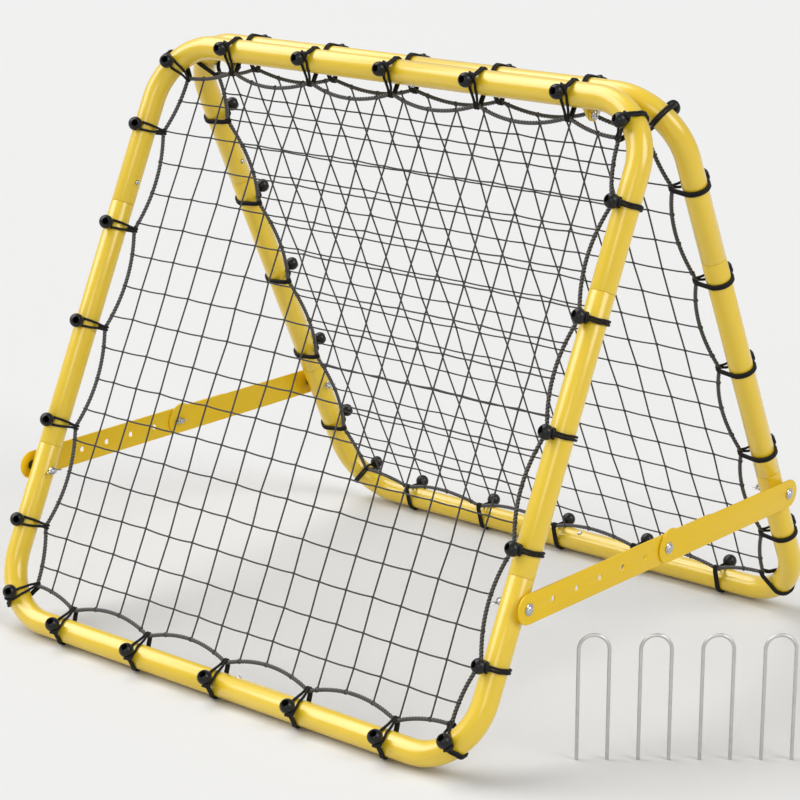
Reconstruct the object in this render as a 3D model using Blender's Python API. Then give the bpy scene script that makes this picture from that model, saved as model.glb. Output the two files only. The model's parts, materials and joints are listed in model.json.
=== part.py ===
"""Folding soccer rebounder: two tube frames with bungee-tied nets, hinged at the top into an A.

Metres, +Z up. X runs along the top tubes, the front frame stands on the -Y side, Z = 0 is the ground.
Each frame is drawn hanging straight down from the hinge line under its own empty, which then leans it out.
Inside a frame, a point is given as x, out (away from the other frame) and up (from the bottom tube's centre).
"""
import math

import bmesh
import bpy
from mathutils import Vector

# Gap between touching pieces, and the radial clearance of a hole round its bolt
GAP = 0.0003
BOLT_CLEARANCE = 0.0006

# Net frame, plugged together from six steel tubes
FRAME_WIDTH = 1.000
FRAME_HEIGHT = 1.000
TUBE_DIAMETER = 0.038
TUBE_WALL = 0.0015
TUBE_SIDES = 12
CORNER_RADIUS = 0.100
BEND_STEPS = 4
SEAM_FROM_END = 0.2755
SPIGOT_LENGTH = 0.060
SPIGOT_FIT = 0.0004

# Spring buttons that lock the plugged tubes
BUTTON_RADIUS = 0.0036
BUTTON_SIDES = 6
BUTTON_RISE = 0.0025
BUTTON_FLANGE_RADIUS = 0.0052
BUTTON_FLANGE = 0.0012
BUTTON_ABOVE_SEAM = 0.037
BUTTON_FROM_MIDDLE = 0.042

# Hinge between the frames: ears welded under the top tubes, one bolt at each end
SPREAD_ANGLE = 25.44
TOP_TIE_CLEARANCE = 0.00049
HINGE_DROP = 0.0173
EAR_FROM_BEND = 0.0265
EAR_THICKNESS = 0.003
EAR_TIP_RADIUS = 0.011
EAR_ROOT_HALF_ANGLE = 42.0
EAR_TIP_HALF_ANGLE = 80.0

# Bolts, hex nuts and wing nuts
SMALL_SIDES = 8
BOLT_RADIUS = 0.004
BOLT_END = 0.002
HEAD_FLANGE_RADIUS = 0.009
HEAD_FLANGE = 0.0015
HEAD_DOME_RADIUS = 0.0065
HEAD_DOME = 0.0036
HEX_NUT_RADIUS = 0.0075
HEX_NUT_HEIGHT = 0.006
NUT_RADIUS = 0.0065
NUT_HEIGHT = 0.007
WING_REACH = 0.012
WING_RISE = 0.012
WING_THICKNESS = 0.0026

# Folding braces, one pair on each side, in line when the rebounder stands open
BRACE_UP = 0.2357
BRACE_WIDTH = 0.045
BRACE_THICKNESS = 0.003
BRACE_STANDOFF = 0.0055
BRACE_HOLE_STEPS = 6
BRACE_SPARE_HOLES = 2
STOP_RADIUS = 0.0285
STOP_OFFSET = 0.007
SPACER_RADIUS = 0.008

# Net of square mesh, drawn with fewer and wider meshes than the real one
NET_LINES = 9
NET_SIDE_MARGIN = 0.0885
NET_SHIFT = 0.008
NET_BOTTOM_MARGIN = 0.0842
NET_TOP_MARGIN = 0.092
STRAND = 0.0026

# Border rope of the net, arched inwards between its ties; the bow is that of a span of the given length.
# Rope and net lie to the inner side of the plane through the tubes' centres.
ROPE_RADIUS = 0.003
ROPE_SIDES = 4
ROPE_STEPS = 3
ROPE_GAP = 0.0105
ROPE_INSET = 0.0105
ROPE_BOW = 0.0165
ROPE_BOW_SPAN = 0.167

# Bungee ties, each a doubled cord round the tube and a ball that locks it
TIES_PER_SIDE = 5
TIE_FROM_BEND = 0.047
TIE_WIDTH = 0.008
TIE_THICKNESS = 0.0036
TIE_FLAT = 0.0004
TIE_BEND_SLACK = 0.0006
TIE_ROPE_SLACK = 0.0013
TIE_SHIFT = 0.0075
FOOT_TIES = {"left": 0, "middle": 2, "right": 4}
BALL_RADIUS = 0.0115
BALL_INWARD = 0.005

# Ground stakes, standing in a row beside the right-hand braces
STAKE_COUNT = 4
STAKE_HEIGHT = 0.190
STAKE_GAUGE = 0.043
STAKE_WIRE_RADIUS = 0.0025
STAKE_WIRE_SIDES = 6
STAKE_BEND_STEPS = 4
STAKE_PITCH = 0.0867
STAKE_ROW_TURN = 40.2
STAKE_ROW_GAP = 0.0614
STAKE_ROW_Y = -0.2522

# Worked out from the sizes above
TUBE_RADIUS = TUBE_DIAMETER / 2
BORE_RADIUS = TUBE_RADIUS - TUBE_WALL
SPIGOT_RADIUS = BORE_RADIUS - SPIGOT_FIT
SPIGOT_BORE = SPIGOT_RADIUS - TUBE_WALL
SWAGE = 4 * TUBE_WALL
HALF_WIDTH = FRAME_WIDTH / 2 - TUBE_RADIUS
LOOP_HEIGHT = FRAME_HEIGHT - TUBE_DIAMETER
CORNER_START = HALF_WIDTH - CORNER_RADIUS
CORNER_TURN = CORNER_RADIUS * math.pi / 2
LEAN = math.radians(SPREAD_ANGLE)
HINGE_UP = LOOP_HEIGHT - HINGE_DROP
TOP_TUBE_GAP = GAP + TIE_THICKNESS + TOP_TIE_CLEARANCE
HINGE_SETBACK = (TUBE_RADIUS + TOP_TUBE_GAP / 2 + HINGE_DROP * math.sin(LEAN)) / math.cos(LEAN)
EAR_X = CORNER_START - EAR_FROM_BEND
FOOT_HEIGHT = TUBE_RADIUS + GAP + TIE_THICKNESS - TIE_FLAT
HINGE_Z = FOOT_HEIGHT + HINGE_UP * math.cos(LEAN) - HINGE_SETBACK * math.sin(LEAN)
HOLE_RADIUS = BOLT_RADIUS + BOLT_CLEARANCE
BRACE_LENGTH = HINGE_SETBACK * math.cos(LEAN) + (HINGE_UP - BRACE_UP) * math.sin(LEAN)
BRACE_X = FRAME_WIDTH / 2 + BRACE_STANDOFF
LAYER = BRACE_THICKNESS + GAP
OUTER_X = BRACE_X + 2 * LAYER + HEAD_FLANGE + HEAD_DOME
ROPE_FROM_TUBE = TUBE_RADIUS + ROPE_GAP + ROPE_RADIUS
TIE_FROM_CORNER = CORNER_RADIUS + TIE_FROM_BEND
TIE_PITCH_ACROSS = 2 * (HALF_WIDTH - TIE_FROM_CORNER) / (TIES_PER_SIDE - 1)
TIE_PITCH_UP = (LOOP_HEIGHT - 2 * TIE_FROM_CORNER) / (TIES_PER_SIDE - 1)
BALL_OUT = TUBE_RADIUS + GAP + BALL_RADIUS
NET_WIDTH = 2 * (HALF_WIDTH - NET_SIDE_MARGIN)
NET_HEIGHT = LOOP_HEIGHT - NET_BOTTOM_MARGIN - NET_TOP_MARGIN
STAKE_ROW_X = FRAME_WIDTH / 2 + STAKE_ROW_GAP
ROW_TURN = math.radians(STAKE_ROW_TURN)
STAKES_REACH = (
    STAKE_ROW_X + ((STAKE_COUNT - 1) * STAKE_PITCH + STAKE_GAUGE / 2) * math.cos(ROW_TURN) + STAKE_WIRE_RADIUS
)
MIDDLE_X = (OUTER_X - STAKES_REACH) / 2

# Colour, roughness and metallic value of each kind of surface
FINISHES = {
    "tube_paint": ((0.86, 0.62, 0.05, 1.0), 0.32, 0.0),
    "brace_paint": ((0.78, 0.50, 0.03, 1.0), 0.38, 0.0),
    "zinc": ((0.72, 0.73, 0.75, 1.0), 0.28, 1.0),
    "galvanised": ((0.78, 0.79, 0.80, 1.0), 0.35, 1.0),
    "black_plastic": ((0.02, 0.02, 0.022, 1.0), 0.30, 0.0),
    "bungee": ((0.025, 0.024, 0.024, 1.0), 0.55, 0.0),
    "net_cord": ((0.09, 0.09, 0.09, 1.0), 0.75, 0.0),
}

FACES = {"front": -1, "rear": 1}
SIDES = {"left": -1, "right": 1}
ENDS = {"bottom": -1, "top": 1}


def clear_scene():
    for old in list(bpy.data.objects):
        bpy.data.objects.remove(old, do_unlink=True)


def empty(name, parent, location, turn):
    """A marker that carries other pieces, turned about X."""
    marker = bpy.data.objects.new(name, None)
    bpy.context.collection.objects.link(marker)
    marker.parent = parent
    marker.location = location
    marker.rotation_euler.x = turn
    return marker


def finish_for(name, kind):
    colour, roughness, metallic = FINISHES[kind]
    material = bpy.data.materials.new(name + "_finish")
    material.use_nodes = True
    shader = material.node_tree.nodes["Principled BSDF"]
    shader.inputs["Base Color"].default_value = colour
    shader.inputs["Roughness"].default_value = roughness
    shader.inputs["Metallic"].default_value = metallic
    return material


def piece(name, bm, parent, location, kind):
    """Turns a bmesh into a named object, smooth except over sharp edges."""
    bmesh.ops.recalc_face_normals(bm, faces=bm.faces)
    mesh = bpy.data.meshes.new(name)
    bm.to_mesh(mesh)
    bm.free()
    mesh.shade_smooth()
    mesh.set_sharp_from_angle(angle=math.radians(35))
    mesh.materials.append(finish_for(name, kind))
    thing = bpy.data.objects.new(name, mesh)
    bpy.context.collection.objects.link(thing)
    thing.parent = parent
    thing.location = location
    return thing


def helper(name, bm, parent, location):
    """An object that only cuts or joins: it is hidden and left out of the model."""
    thing = piece(name, bm, parent, location, "zinc")
    thing.hide_render = True
    thing.display_type = "WIRE"
    return thing


def combine(thing, other, operation):
    modifier = thing.modifiers.new(operation.lower() + "_" + other.name, "BOOLEAN")
    modifier.object = other
    modifier.operation = operation
    modifier.solver = "EXACT"


def skin(bm, rings, cyclic):
    """Joins rings of equal point count with quads; an open run gets flat ends."""
    loops = [[bm.verts.new(point) for point in ring] for ring in rings]
    count = len(loops[0])
    for k in range(len(loops) if cyclic else len(loops) - 1):
        here = loops[k]
        there = loops[(k + 1) % len(loops)]
        for j in range(count):
            bm.faces.new((here[j], here[(j + 1) % count], there[(j + 1) % count], there[j]))
    if not cyclic:
        bm.faces.new(loops[0])
        bm.faces.new(loops[-1])


def lathe(bm, stations, axis, sides, cyclic=False, centre=(0, 0, 0)):
    """Adds a turned solid: stations give (distance along the axis, radius) from end to end."""
    along = Vector(axis).normalized()
    across = along.orthogonal().normalized()
    other = along.cross(across)
    rings = []
    for distance, radius in stations:
        middle = Vector(centre) + along * distance
        angles = [2 * math.pi * j / sides for j in range(sides)]
        rings.append([middle + (across * math.cos(a) + other * math.sin(a)) * radius for a in angles])
    skin(bm, rings, cyclic)


def turned(stations, axis, sides=SMALL_SIDES, cyclic=False):
    bm = bmesh.new()
    lathe(bm, stations, axis, sides, cyclic)
    return bm


def plate(outline, low, high):
    """A plate: the outline's (y, z) points, extruded along X from low to high."""
    bm = bmesh.new()
    skin(bm, [[Vector((x, y, z)) for y, z in outline] for x in (low, high)], False)
    return bm


def arc(centre, radius, start, end, steps):
    """Points on a circle in a plane, with angles in degrees."""
    angles = [math.radians(start + (end - start) * k / steps) for k in range(steps + 1)]
    return [(centre[0] + radius * math.cos(a), centre[1] + radius * math.sin(a)) for a in angles]


def in_frame(face, x, out, up):
    """A point of a frame, measured from the hinge line of the hanging frame."""
    return Vector((x, face * (HINGE_SETBACK + out), up - HINGE_UP))


def on_corner(side, end, distance):
    """A corner tube's centre line: x, up and outward normal at a distance from the middle seam."""
    angle = min(max((distance - CORNER_START) / CORNER_RADIUS, 0.0), math.pi / 2)
    x = min(distance, CORNER_START) + CORNER_RADIUS * math.sin(angle)
    rise = CORNER_RADIUS * (1 - math.cos(angle)) + max(distance - CORNER_START - CORNER_TURN, 0.0)
    up = LOOP_HEIGHT - rise if end > 0 else rise
    return side * x, up, (side * math.sin(angle), end * math.cos(angle))


def tube_ring(face, x, up, normal, radius):
    ring = []
    for j in range(TUBE_SIDES):
        angle = 2 * math.pi * j / TUBE_SIDES
        across = radius * math.cos(angle)
        ring.append(in_frame(face, x + normal[0] * across, radius * math.sin(angle), up + normal[1] * across))
    return ring


def corner_tube(face, side, end):
    """A bent quarter of the frame; the left ones have a spigot at the middle seam."""
    length = CORNER_START + CORNER_TURN + SEAM_FROM_END - CORNER_RADIUS
    bend = [CORNER_START + CORNER_TURN * k / BEND_STEPS for k in range(BEND_STEPS + 1)]
    outer = [(distance, TUBE_RADIUS) for distance in bend + [length]]
    inner = [(distance, BORE_RADIUS) for distance in [length] + bend[::-1]]
    if side < 0:
        outer = [(-SPIGOT_LENGTH, SPIGOT_RADIUS), (GAP, SPIGOT_RADIUS), (GAP, TUBE_RADIUS)] + outer
        inner = inner + [(SWAGE, BORE_RADIUS), (0.0, SPIGOT_BORE), (-SPIGOT_LENGTH, SPIGOT_BORE)]
    else:
        outer = [(0.0, TUBE_RADIUS)] + outer
        inner = inner + [(0.0, BORE_RADIUS)]
    bm = bmesh.new()
    rings = []
    for distance, radius in outer + inner:
        x, up, normal = on_corner(side, end, distance)
        rings.append(tube_ring(face, x, up, normal, radius))
    skin(bm, rings, True)
    return bm


def side_tube(face, side):
    """The straight tube of one side, with a spigot at both ends."""
    low = SEAM_FROM_END + GAP
    high = LOOP_HEIGHT - SEAM_FROM_END - GAP
    stations = [
        (low - SPIGOT_LENGTH, SPIGOT_RADIUS), (low, SPIGOT_RADIUS), (low, TUBE_RADIUS),
        (high, TUBE_RADIUS), (high, SPIGOT_RADIUS), (high + SPIGOT_LENGTH, SPIGOT_RADIUS),
        (high + SPIGOT_LENGTH, SPIGOT_BORE), (high, SPIGOT_BORE), (high - SWAGE, BORE_RADIUS),
        (low + SWAGE, BORE_RADIUS), (low, SPIGOT_BORE), (low - SPIGOT_LENGTH, SPIGOT_BORE),
    ]
    bm = bmesh.new()
    skin(bm, [tube_ring(face, side * HALF_WIDTH, up, (side, 0.0), radius) for up, radius in stations], True)
    return bm


def ear(face, side):
    """A hinge ear: a plate from inside the top tube's wall down to the hinge bolt."""
    towards = math.degrees(math.atan2(-HINGE_DROP, -HINGE_SETBACK))
    root = EAR_ROOT_HALF_ANGLE
    tip = EAR_TIP_HALF_ANGLE
    outline = arc((0.0, 0.0), TUBE_RADIUS - TUBE_WALL / 2, towards + root, towards - root, 6)
    outline += arc((-HINGE_SETBACK, -HINGE_DROP), EAR_TIP_RADIUS, towards - tip, towards + tip, 6)
    points = [in_frame(face, 0.0, out, LOOP_HEIGHT + drop) for out, drop in outline]
    low = EAR_X if face < 0 else EAR_X + EAR_THICKNESS + GAP
    return plate([(point.y, point.z) for point in points], side * low, side * (low + EAR_THICKNESS))


def build_tubes(face_name, carrier):
    """The six tubes of one frame, bored for the bolts and buttons that lock them."""
    face = FACES[face_name]
    tubes = {}
    for end_name, end in ENDS.items():
        for side_name, side in SIDES.items():
            name = f"{face_name}_{end_name}_{side_name}_tube"
            tubes[end_name, side_name] = piece(name, corner_tube(face, side, end), carrier, (0, 0, 0), "tube_paint")
    for side_name, side in SIDES.items():
        name = f"{face_name}_{side_name}_side_tube"
        tubes["side", side_name] = piece(name, side_tube(face, side), carrier, (0, 0, 0), "tube_paint")
        top = tubes["top", side_name]
        combine(top, helper(f"{face_name}_{side_name}_ear", ear(face, side), carrier, (0, 0, 0)), "UNION")
        bore = turned([(-0.02, HOLE_RADIUS), (0.02, HOLE_RADIUS)], (side, 0, 0))
        place = (side * (EAR_X + EAR_THICKNESS), 0, 0)
        combine(top, helper(f"{face_name}_{side_name}_ear_bore", bore, carrier, place), "DIFFERENCE")
        bore = turned([(-TUBE_DIAMETER, HOLE_RADIUS), (TUBE_DIAMETER, HOLE_RADIUS)], (side, 0, 0))
        place = in_frame(face, side * HALF_WIDTH, 0.0, BRACE_UP)
        cutter = helper(f"{face_name}_{side_name}_pivot_bore", bore, carrier, place)
        combine(tubes["bottom", side_name], cutter, "DIFFERENCE")
        combine(tubes["side", side_name], cutter, "DIFFERENCE")
    return tubes


def spring_button(name, carrier, place, inward, plugged):
    """A button on a flange inside the spigot, standing out through the spigot and the tube round it."""
    seat = SPIGOT_BORE - BUTTON_FLANGE_RADIUS * math.tan(math.pi / TUBE_SIDES) - GAP
    stations = [
        (seat - BUTTON_FLANGE, BUTTON_FLANGE_RADIUS), (seat, BUTTON_FLANGE_RADIUS), (seat, BUTTON_RADIUS),
        (TUBE_RADIUS + BUTTON_RISE, BUTTON_RADIUS * 0.8),
    ]
    piece(name, turned(stations, inward, BUTTON_SIDES), carrier, place, "zinc")
    wide = BUTTON_RADIUS + BOLT_CLEARANCE
    hole = turned([(0.0, wide), (TUBE_DIAMETER, wide)], inward, BUTTON_SIDES)
    cutter = helper(name + "_hole", hole, carrier, place)
    for tube in plugged:
        combine(tube, cutter, "DIFFERENCE")


def build_buttons(face_name, carrier, tubes):
    face = FACES[face_name]
    up = LOOP_HEIGHT - SEAM_FROM_END + BUTTON_ABOVE_SEAM
    for side_name, side in SIDES.items():
        place = in_frame(face, side * HALF_WIDTH, 0.0, up)
        plugged = (tubes["top", side_name], tubes["side", side_name])
        spring_button(f"{face_name}_{side_name}_button", carrier, place, (-side, 0, 0), plugged)
    for end_name, end in ENDS.items():
        place = in_frame(face, BUTTON_FROM_MIDDLE, 0.0, LOOP_HEIGHT if end > 0 else 0.0)
        plugged = (tubes[end_name, "left"], tubes[end_name, "right"])
        spring_button(f"{face_name}_{end_name}_button", carrier, place, (0, 0, -end), plugged)


def bolt(name, carrier, place, outward, length):
    """A bolt with a flanged dome head, seated at its place, with its shank running inward."""
    stations = [
        (-length, BOLT_RADIUS), (0.0, BOLT_RADIUS), (0.0, HEAD_FLANGE_RADIUS), (HEAD_FLANGE, HEAD_FLANGE_RADIUS),
        (HEAD_FLANGE, HEAD_DOME_RADIUS), (HEAD_FLANGE + HEAD_DOME, HEAD_DOME_RADIUS * 0.55),
    ]
    piece(name, turned(stations, (outward, 0, 0)), carrier, place, "zinc")


def hex_nut(name, carrier, place, direction):
    nut = piece(name, turned([(0, HEX_NUT_RADIUS), (HEX_NUT_HEIGHT, HEX_NUT_RADIUS)], (direction, 0, 0), 6),
                carrier, place, "zinc")
    bore = turned([(-0.002, HOLE_RADIUS), (HEX_NUT_HEIGHT + 0.002, HOLE_RADIUS)], (direction, 0, 0))
    combine(nut, helper(name + "_bore", bore, carrier, place), "DIFFERENCE")


def wing_plate(direction):
    """Both wings as one plate across the nut, each rising to a blunt tip."""
    half = [
        (NUT_RADIUS * 0.6, 0.001), (WING_REACH * 0.8, 0.003), (WING_REACH, WING_RISE * 0.7),
        (WING_REACH * 0.85, WING_RISE), (WING_REACH * 0.6, WING_RISE * 0.9), (NUT_RADIUS * 0.6, NUT_HEIGHT - 0.001),
    ]
    outline = [(direction * rise, reach) for reach, rise in half]
    outline += [(direction * rise, -reach) for reach, rise in half[::-1]]
    bm = bmesh.new()
    heights = (-WING_THICKNESS / 2, WING_THICKNESS / 2)
    skin(bm, [[Vector((x, y, z)) for x, y in outline] for z in heights], False)
    return bm


def wing_nut(name, carrier, place, direction, stub):
    """A wing nut that rises from its seat; a stub above 0 is the end of the bolt that it holds."""
    axis = (direction, 0, 0)
    nut = piece(name, turned([(0, NUT_RADIUS), (NUT_HEIGHT, NUT_RADIUS)], axis), carrier, place, "zinc")
    combine(nut, helper(name + "_wings", wing_plate(direction), carrier, place), "UNION")
    if stub > 0:
        end = turned([(-stub, BOLT_RADIUS), (NUT_HEIGHT + BOLT_END, BOLT_RADIUS)], axis)
        combine(nut, helper(name + "_bolt_end", end, carrier, place), "UNION")
    else:
        bore = turned([(-0.002, HOLE_RADIUS), (WING_RISE + 0.002, HOLE_RADIUS)], axis)
        combine(nut, helper(name + "_bore", bore, carrier, place), "DIFFERENCE")


def build_hinge(carrier):
    """The two hinge bolts and their nuts, which stay with the front frame's ears."""
    for side_name, side in SIDES.items():
        head = EAR_X + 2 * (EAR_THICKNESS + GAP)
        seat = EAR_X - GAP
        length = head - seat + HEX_NUT_HEIGHT + BOLT_END
        bolt(f"{side_name}_hinge_bolt", carrier, (side * head, 0, 0), side, length)
        hex_nut(f"{side_name}_hinge_nut", carrier, (side * seat, 0, 0), -side)


def brace_outline(face):
    """The side view of a brace bar, from its pivot towards the middle of the rebounder."""
    half = BRACE_WIDTH / 2
    if face < 0:
        length = BRACE_LENGTH * (1 + BRACE_SPARE_HOLES / BRACE_HOLE_STEPS)
        points = arc((0.0, 0.0), half, 90, 270, 8) + arc((length, 0.0), half, -90, 90, 8)
    else:
        meet = (STOP_OFFSET ** 2 + STOP_RADIUS ** 2 - half ** 2) / (2 * STOP_OFFSET)
        rise = math.sqrt(STOP_RADIUS ** 2 - meet ** 2)
        end = math.degrees(math.atan2(rise, meet - STOP_OFFSET))
        start = math.degrees(math.atan2(rise, meet))
        finish = 180 - math.degrees(math.asin(half / STOP_RADIUS))
        points = arc((0.0, 0.0), half, 90, 270, 8) + arc((BRACE_LENGTH, 0.0), half, -90, end, 5)
        points += arc((BRACE_LENGTH - STOP_OFFSET, 0.0), STOP_RADIUS, start, finish, 5)[1:]
    return [(-face * y, z) for y, z in points]


def build_brace(face_name, side_name, carrier):
    """One brace bar with its pivot bolt, wing nut and spacer; returns the marker on its pivot."""
    face = FACES[face_name]
    side = SIDES[side_name]
    name = f"{face_name}_{side_name}"
    outer_layer = face * side > 0
    low = BRACE_X + (LAYER if outer_layer else 0.0)
    high = low + BRACE_THICKNESS
    pivot = in_frame(face, 0.0, 0.0, BRACE_UP)
    level = empty(name + "_brace_pivot", carrier, pivot, -face * LEAN)
    bar = piece(name + "_brace", plate(brace_outline(face), side * low, side * high), level, (0, 0, 0), "brace_paint")
    holes = bmesh.new()
    steps = range(BRACE_HOLE_STEPS + BRACE_SPARE_HOLES + 1) if face < 0 else (0, BRACE_HOLE_STEPS)
    for k in steps:
        centre = (side * low, -face * BRACE_LENGTH * k / BRACE_HOLE_STEPS, 0)
        lathe(holes, [(-LAYER, HOLE_RADIUS), (2 * LAYER, HOLE_RADIUS)], (side, 0, 0), SMALL_SIDES, centre=centre)
    combine(bar, helper(name + "_brace_holes", holes, level, (0, 0, 0)), "DIFFERENCE")

    seat = FRAME_WIDTH / 2 - TUBE_DIAMETER - GAP
    head = high + GAP
    at_pivot = Vector((1, 0, 0))
    bolt(name + "_pivot_bolt", carrier, pivot + at_pivot * side * head, side, head - seat + NUT_HEIGHT + BOLT_END)
    wing_nut(name + "_wing_nut", carrier, pivot + at_pivot * side * seat, -side, 0.0)
    inner = FRAME_WIDTH / 2 + GAP
    spacer = [(inner, SPACER_RADIUS), (low - GAP, SPACER_RADIUS), (low - GAP, HOLE_RADIUS), (inner, HOLE_RADIUS)]
    piece(name + "_spacer", turned(spacer, (side, 0, 0), cyclic=True), carrier, pivot, "black_plastic")
    return level


def build_middle_bolt(side_name, levels):
    """The bolt that joins two bars, split where they meet: the head on the outer bar, the nut on the inner."""
    side = SIDES[side_name]
    outer_face = "rear" if side > 0 else "front"
    inner_face = "front" if side > 0 else "rear"
    stub = GAP + BRACE_THICKNESS
    place = (side * (BRACE_X + 2 * LAYER), -FACES[outer_face] * BRACE_LENGTH, 0)
    bolt(f"{side_name}_middle_bolt", levels[outer_face, side_name], place, side, stub)
    place = (side * (BRACE_X - GAP), -FACES[inner_face] * BRACE_LENGTH, 0)
    wing_nut(f"{side_name}_middle_wing_nut", levels[inner_face, side_name], place, -side, stub)


def tie_places():
    """Where the ties sit, in order round the frame: x, up and the direction into the frame."""
    steps = [k - (TIES_PER_SIDE - 1) / 2 for k in range(TIES_PER_SIDE)]
    across = [step * TIE_PITCH_ACROSS for step in steps]
    heights = [LOOP_HEIGHT / 2 + step * TIE_PITCH_UP for step in steps]
    diagonal = math.sqrt(0.5)
    corner_x = CORNER_START + CORNER_RADIUS * diagonal
    corner_up = CORNER_RADIUS * (1 - diagonal)
    places = [(x, 0.0, (0.0, 1.0)) for x in across]
    places += [(corner_x, corner_up, (-diagonal, diagonal))]
    places += [(HALF_WIDTH, up, (-1.0, 0.0)) for up in heights]
    places += [(corner_x, LOOP_HEIGHT - corner_up, (-diagonal, -diagonal))]
    places += [(x, LOOP_HEIGHT, (0.0, -1.0)) for x in across[::-1]]
    places += [(-corner_x, LOOP_HEIGHT - corner_up, (diagonal, -diagonal))]
    places += [(-HALF_WIDTH, up, (1.0, 0.0)) for up in heights[::-1]]
    places += [(-corner_x, corner_up, (diagonal, diagonal))]
    return places


def rope_path():
    """The border rope's centre line as (x, up) points, bowed inwards between the ties."""
    held = [(x + d[0] * ROPE_FROM_TUBE, up + d[1] * ROPE_FROM_TUBE) for x, up, d in tie_places()]
    path = []
    for here, there in zip(held, held[1:] + held[:1]):
        run = Vector(there) - Vector(here)
        bow = ROPE_BOW * (run.length / ROPE_BOW_SPAN) ** 2
        inward = Vector((-run.y, run.x)).normalized()
        for k in range(ROPE_STEPS):
            along = k / ROPE_STEPS
            path.append(Vector(here) + run * along + inward * bow * 4 * along * (1 - along))
    return path


def border_rope(face, path):
    rings = []
    for k, point in enumerate(path):
        run = path[(k + 1) % len(path)] - path[k - 1]
        inward = Vector((-run.y, run.x)).normalized()
        ring = []
        for j in range(ROPE_SIDES):
            angle = 2 * math.pi * j / ROPE_SIDES
            spot = point + inward * ROPE_RADIUS * math.cos(angle)
            ring.append(in_frame(face, spot.x, ROPE_RADIUS * math.sin(angle) - ROPE_INSET, spot.y))
        rings.append(ring)
    bm = bmesh.new()
    skin(bm, rings, True)
    return bm


def add_belt(bm, face, place, shift, foot):
    """Adds a tie's doubled cord: a foot tie loops round tube and rope, any other ends inside the rope."""
    x, up, inward = place
    slack = TIE_BEND_SLACK if inward[0] * inward[1] != 0.0 else 0.0
    inner = [(TUBE_RADIUS + GAP + slack, angle, 0.0, 0.0) for angle in (45, *range(60, 301, 30))]
    if foot:
        hook = (ROPE_RADIUS + TIE_ROPE_SLACK) / math.cos(math.pi / 6)
        inner += [(hook, angle, ROPE_FROM_TUBE, ROPE_INSET) for angle in (-60, 0, 60)]
    else:
        inner += [(0.0, 0, ROPE_FROM_TUBE - ROPE_RADIUS / 2, ROPE_INSET)]
    half = TIE_WIDTH / 2
    section = [(-half, 0.0), (half, 0.0)]
    section += [(half, TIE_THICKNESS), (-half, TIE_THICKNESS)] if foot else [(0.0, TIE_THICKNESS)]
    rings = []
    for radius, degrees, centre, inset in inner:
        ring = []
        for across, thick in section:
            thick = thick if radius > 0 else thick * 0.7
            depth = centre + (radius + thick) * math.cos(math.radians(degrees))
            out = (radius + thick) * math.sin(math.radians(degrees)) - inset
            along = across + shift
            spot_x = x + inward[0] * depth - inward[1] * along
            ring.append(in_frame(face, spot_x, out, up + inward[1] * depth + inward[0] * along))
        rings.append(ring)
    skin(bm, rings, True)


def add_ball(bm, face, place, shift):
    """Adds the ball that locks a tie, in front of the tube."""
    x, up, inward = place
    spot_x = x + inward[0] * BALL_INWARD - inward[1] * shift
    centre = in_frame(face, spot_x, BALL_OUT, up + inward[1] * BALL_INWARD + inward[0] * shift)
    made = bmesh.ops.create_icosphere(bm, subdivisions=1, radius=BALL_RADIUS)
    bmesh.ops.translate(bm, verts=made["verts"], vec=centre)


def build_ties(face_name, carrier, ground):
    """The border rope with its ties in one piece, and the three ties that the frame stands on."""
    face = FACES[face_name]
    places = tie_places()
    rope = piece(f"{face_name}_net_border", border_rope(face, rope_path()), carrier, (0, 0, 0), "bungee")
    belts = bmesh.new()
    balls = bmesh.new()
    for place in places[TIES_PER_SIDE:] + [places[k] for k in range(TIES_PER_SIDE) if k not in FOOT_TIES.values()]:
        shift = face * TIE_SHIFT if place[2][1] == -1.0 else 0.0
        add_belt(belts, face, place, shift, False)
        add_ball(balls, face, place, shift)
    combine(rope, helper(f"{face_name}_belts", belts, carrier, (0, 0, 0)), "UNION")
    combine(rope, helper(f"{face_name}_balls", balls, carrier, (0, 0, 0)), "UNION")
    combine(rope, ground, "DIFFERENCE")
    for where, k in FOOT_TIES.items():
        belt = bmesh.new()
        ball = bmesh.new()
        add_belt(belt, face, places[k], 0.0, True)
        add_ball(ball, face, places[k], 0.0)
        tie = piece(f"{face_name}_{where}_foot_tie", belt, carrier, (0, 0, 0), "bungee")
        combine(tie, helper(f"{face_name}_{where}_foot_ball", ball, carrier, (0, 0, 0)), "UNION")
        combine(tie, ground, "DIFFERENCE")


def rope_edge(path, axis, level, sign):
    """How far a net strand at a level runs, towards one side, before it meets the rope."""
    reach = 0.0
    middle = LOOP_HEIGHT / 2 if axis == 0 else 0.0
    for here, there in zip(path, path[1:] + path[:1]):
        low, high = sorted((here[axis], there[axis]))
        if low <= level <= high and high > low:
            slope = (there[1 - axis] - here[1 - axis]) / (there[axis] - here[axis])
            met = here[1 - axis] + slope * (level - here[axis])
            if (met - middle) * sign > 0 and (reach == 0.0 or abs(met - middle) < abs(reach - middle)):
                reach = met - sign * (ROPE_RADIUS * math.hypot(1.0, slope) + GAP + STRAND * abs(slope))
    return reach


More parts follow.
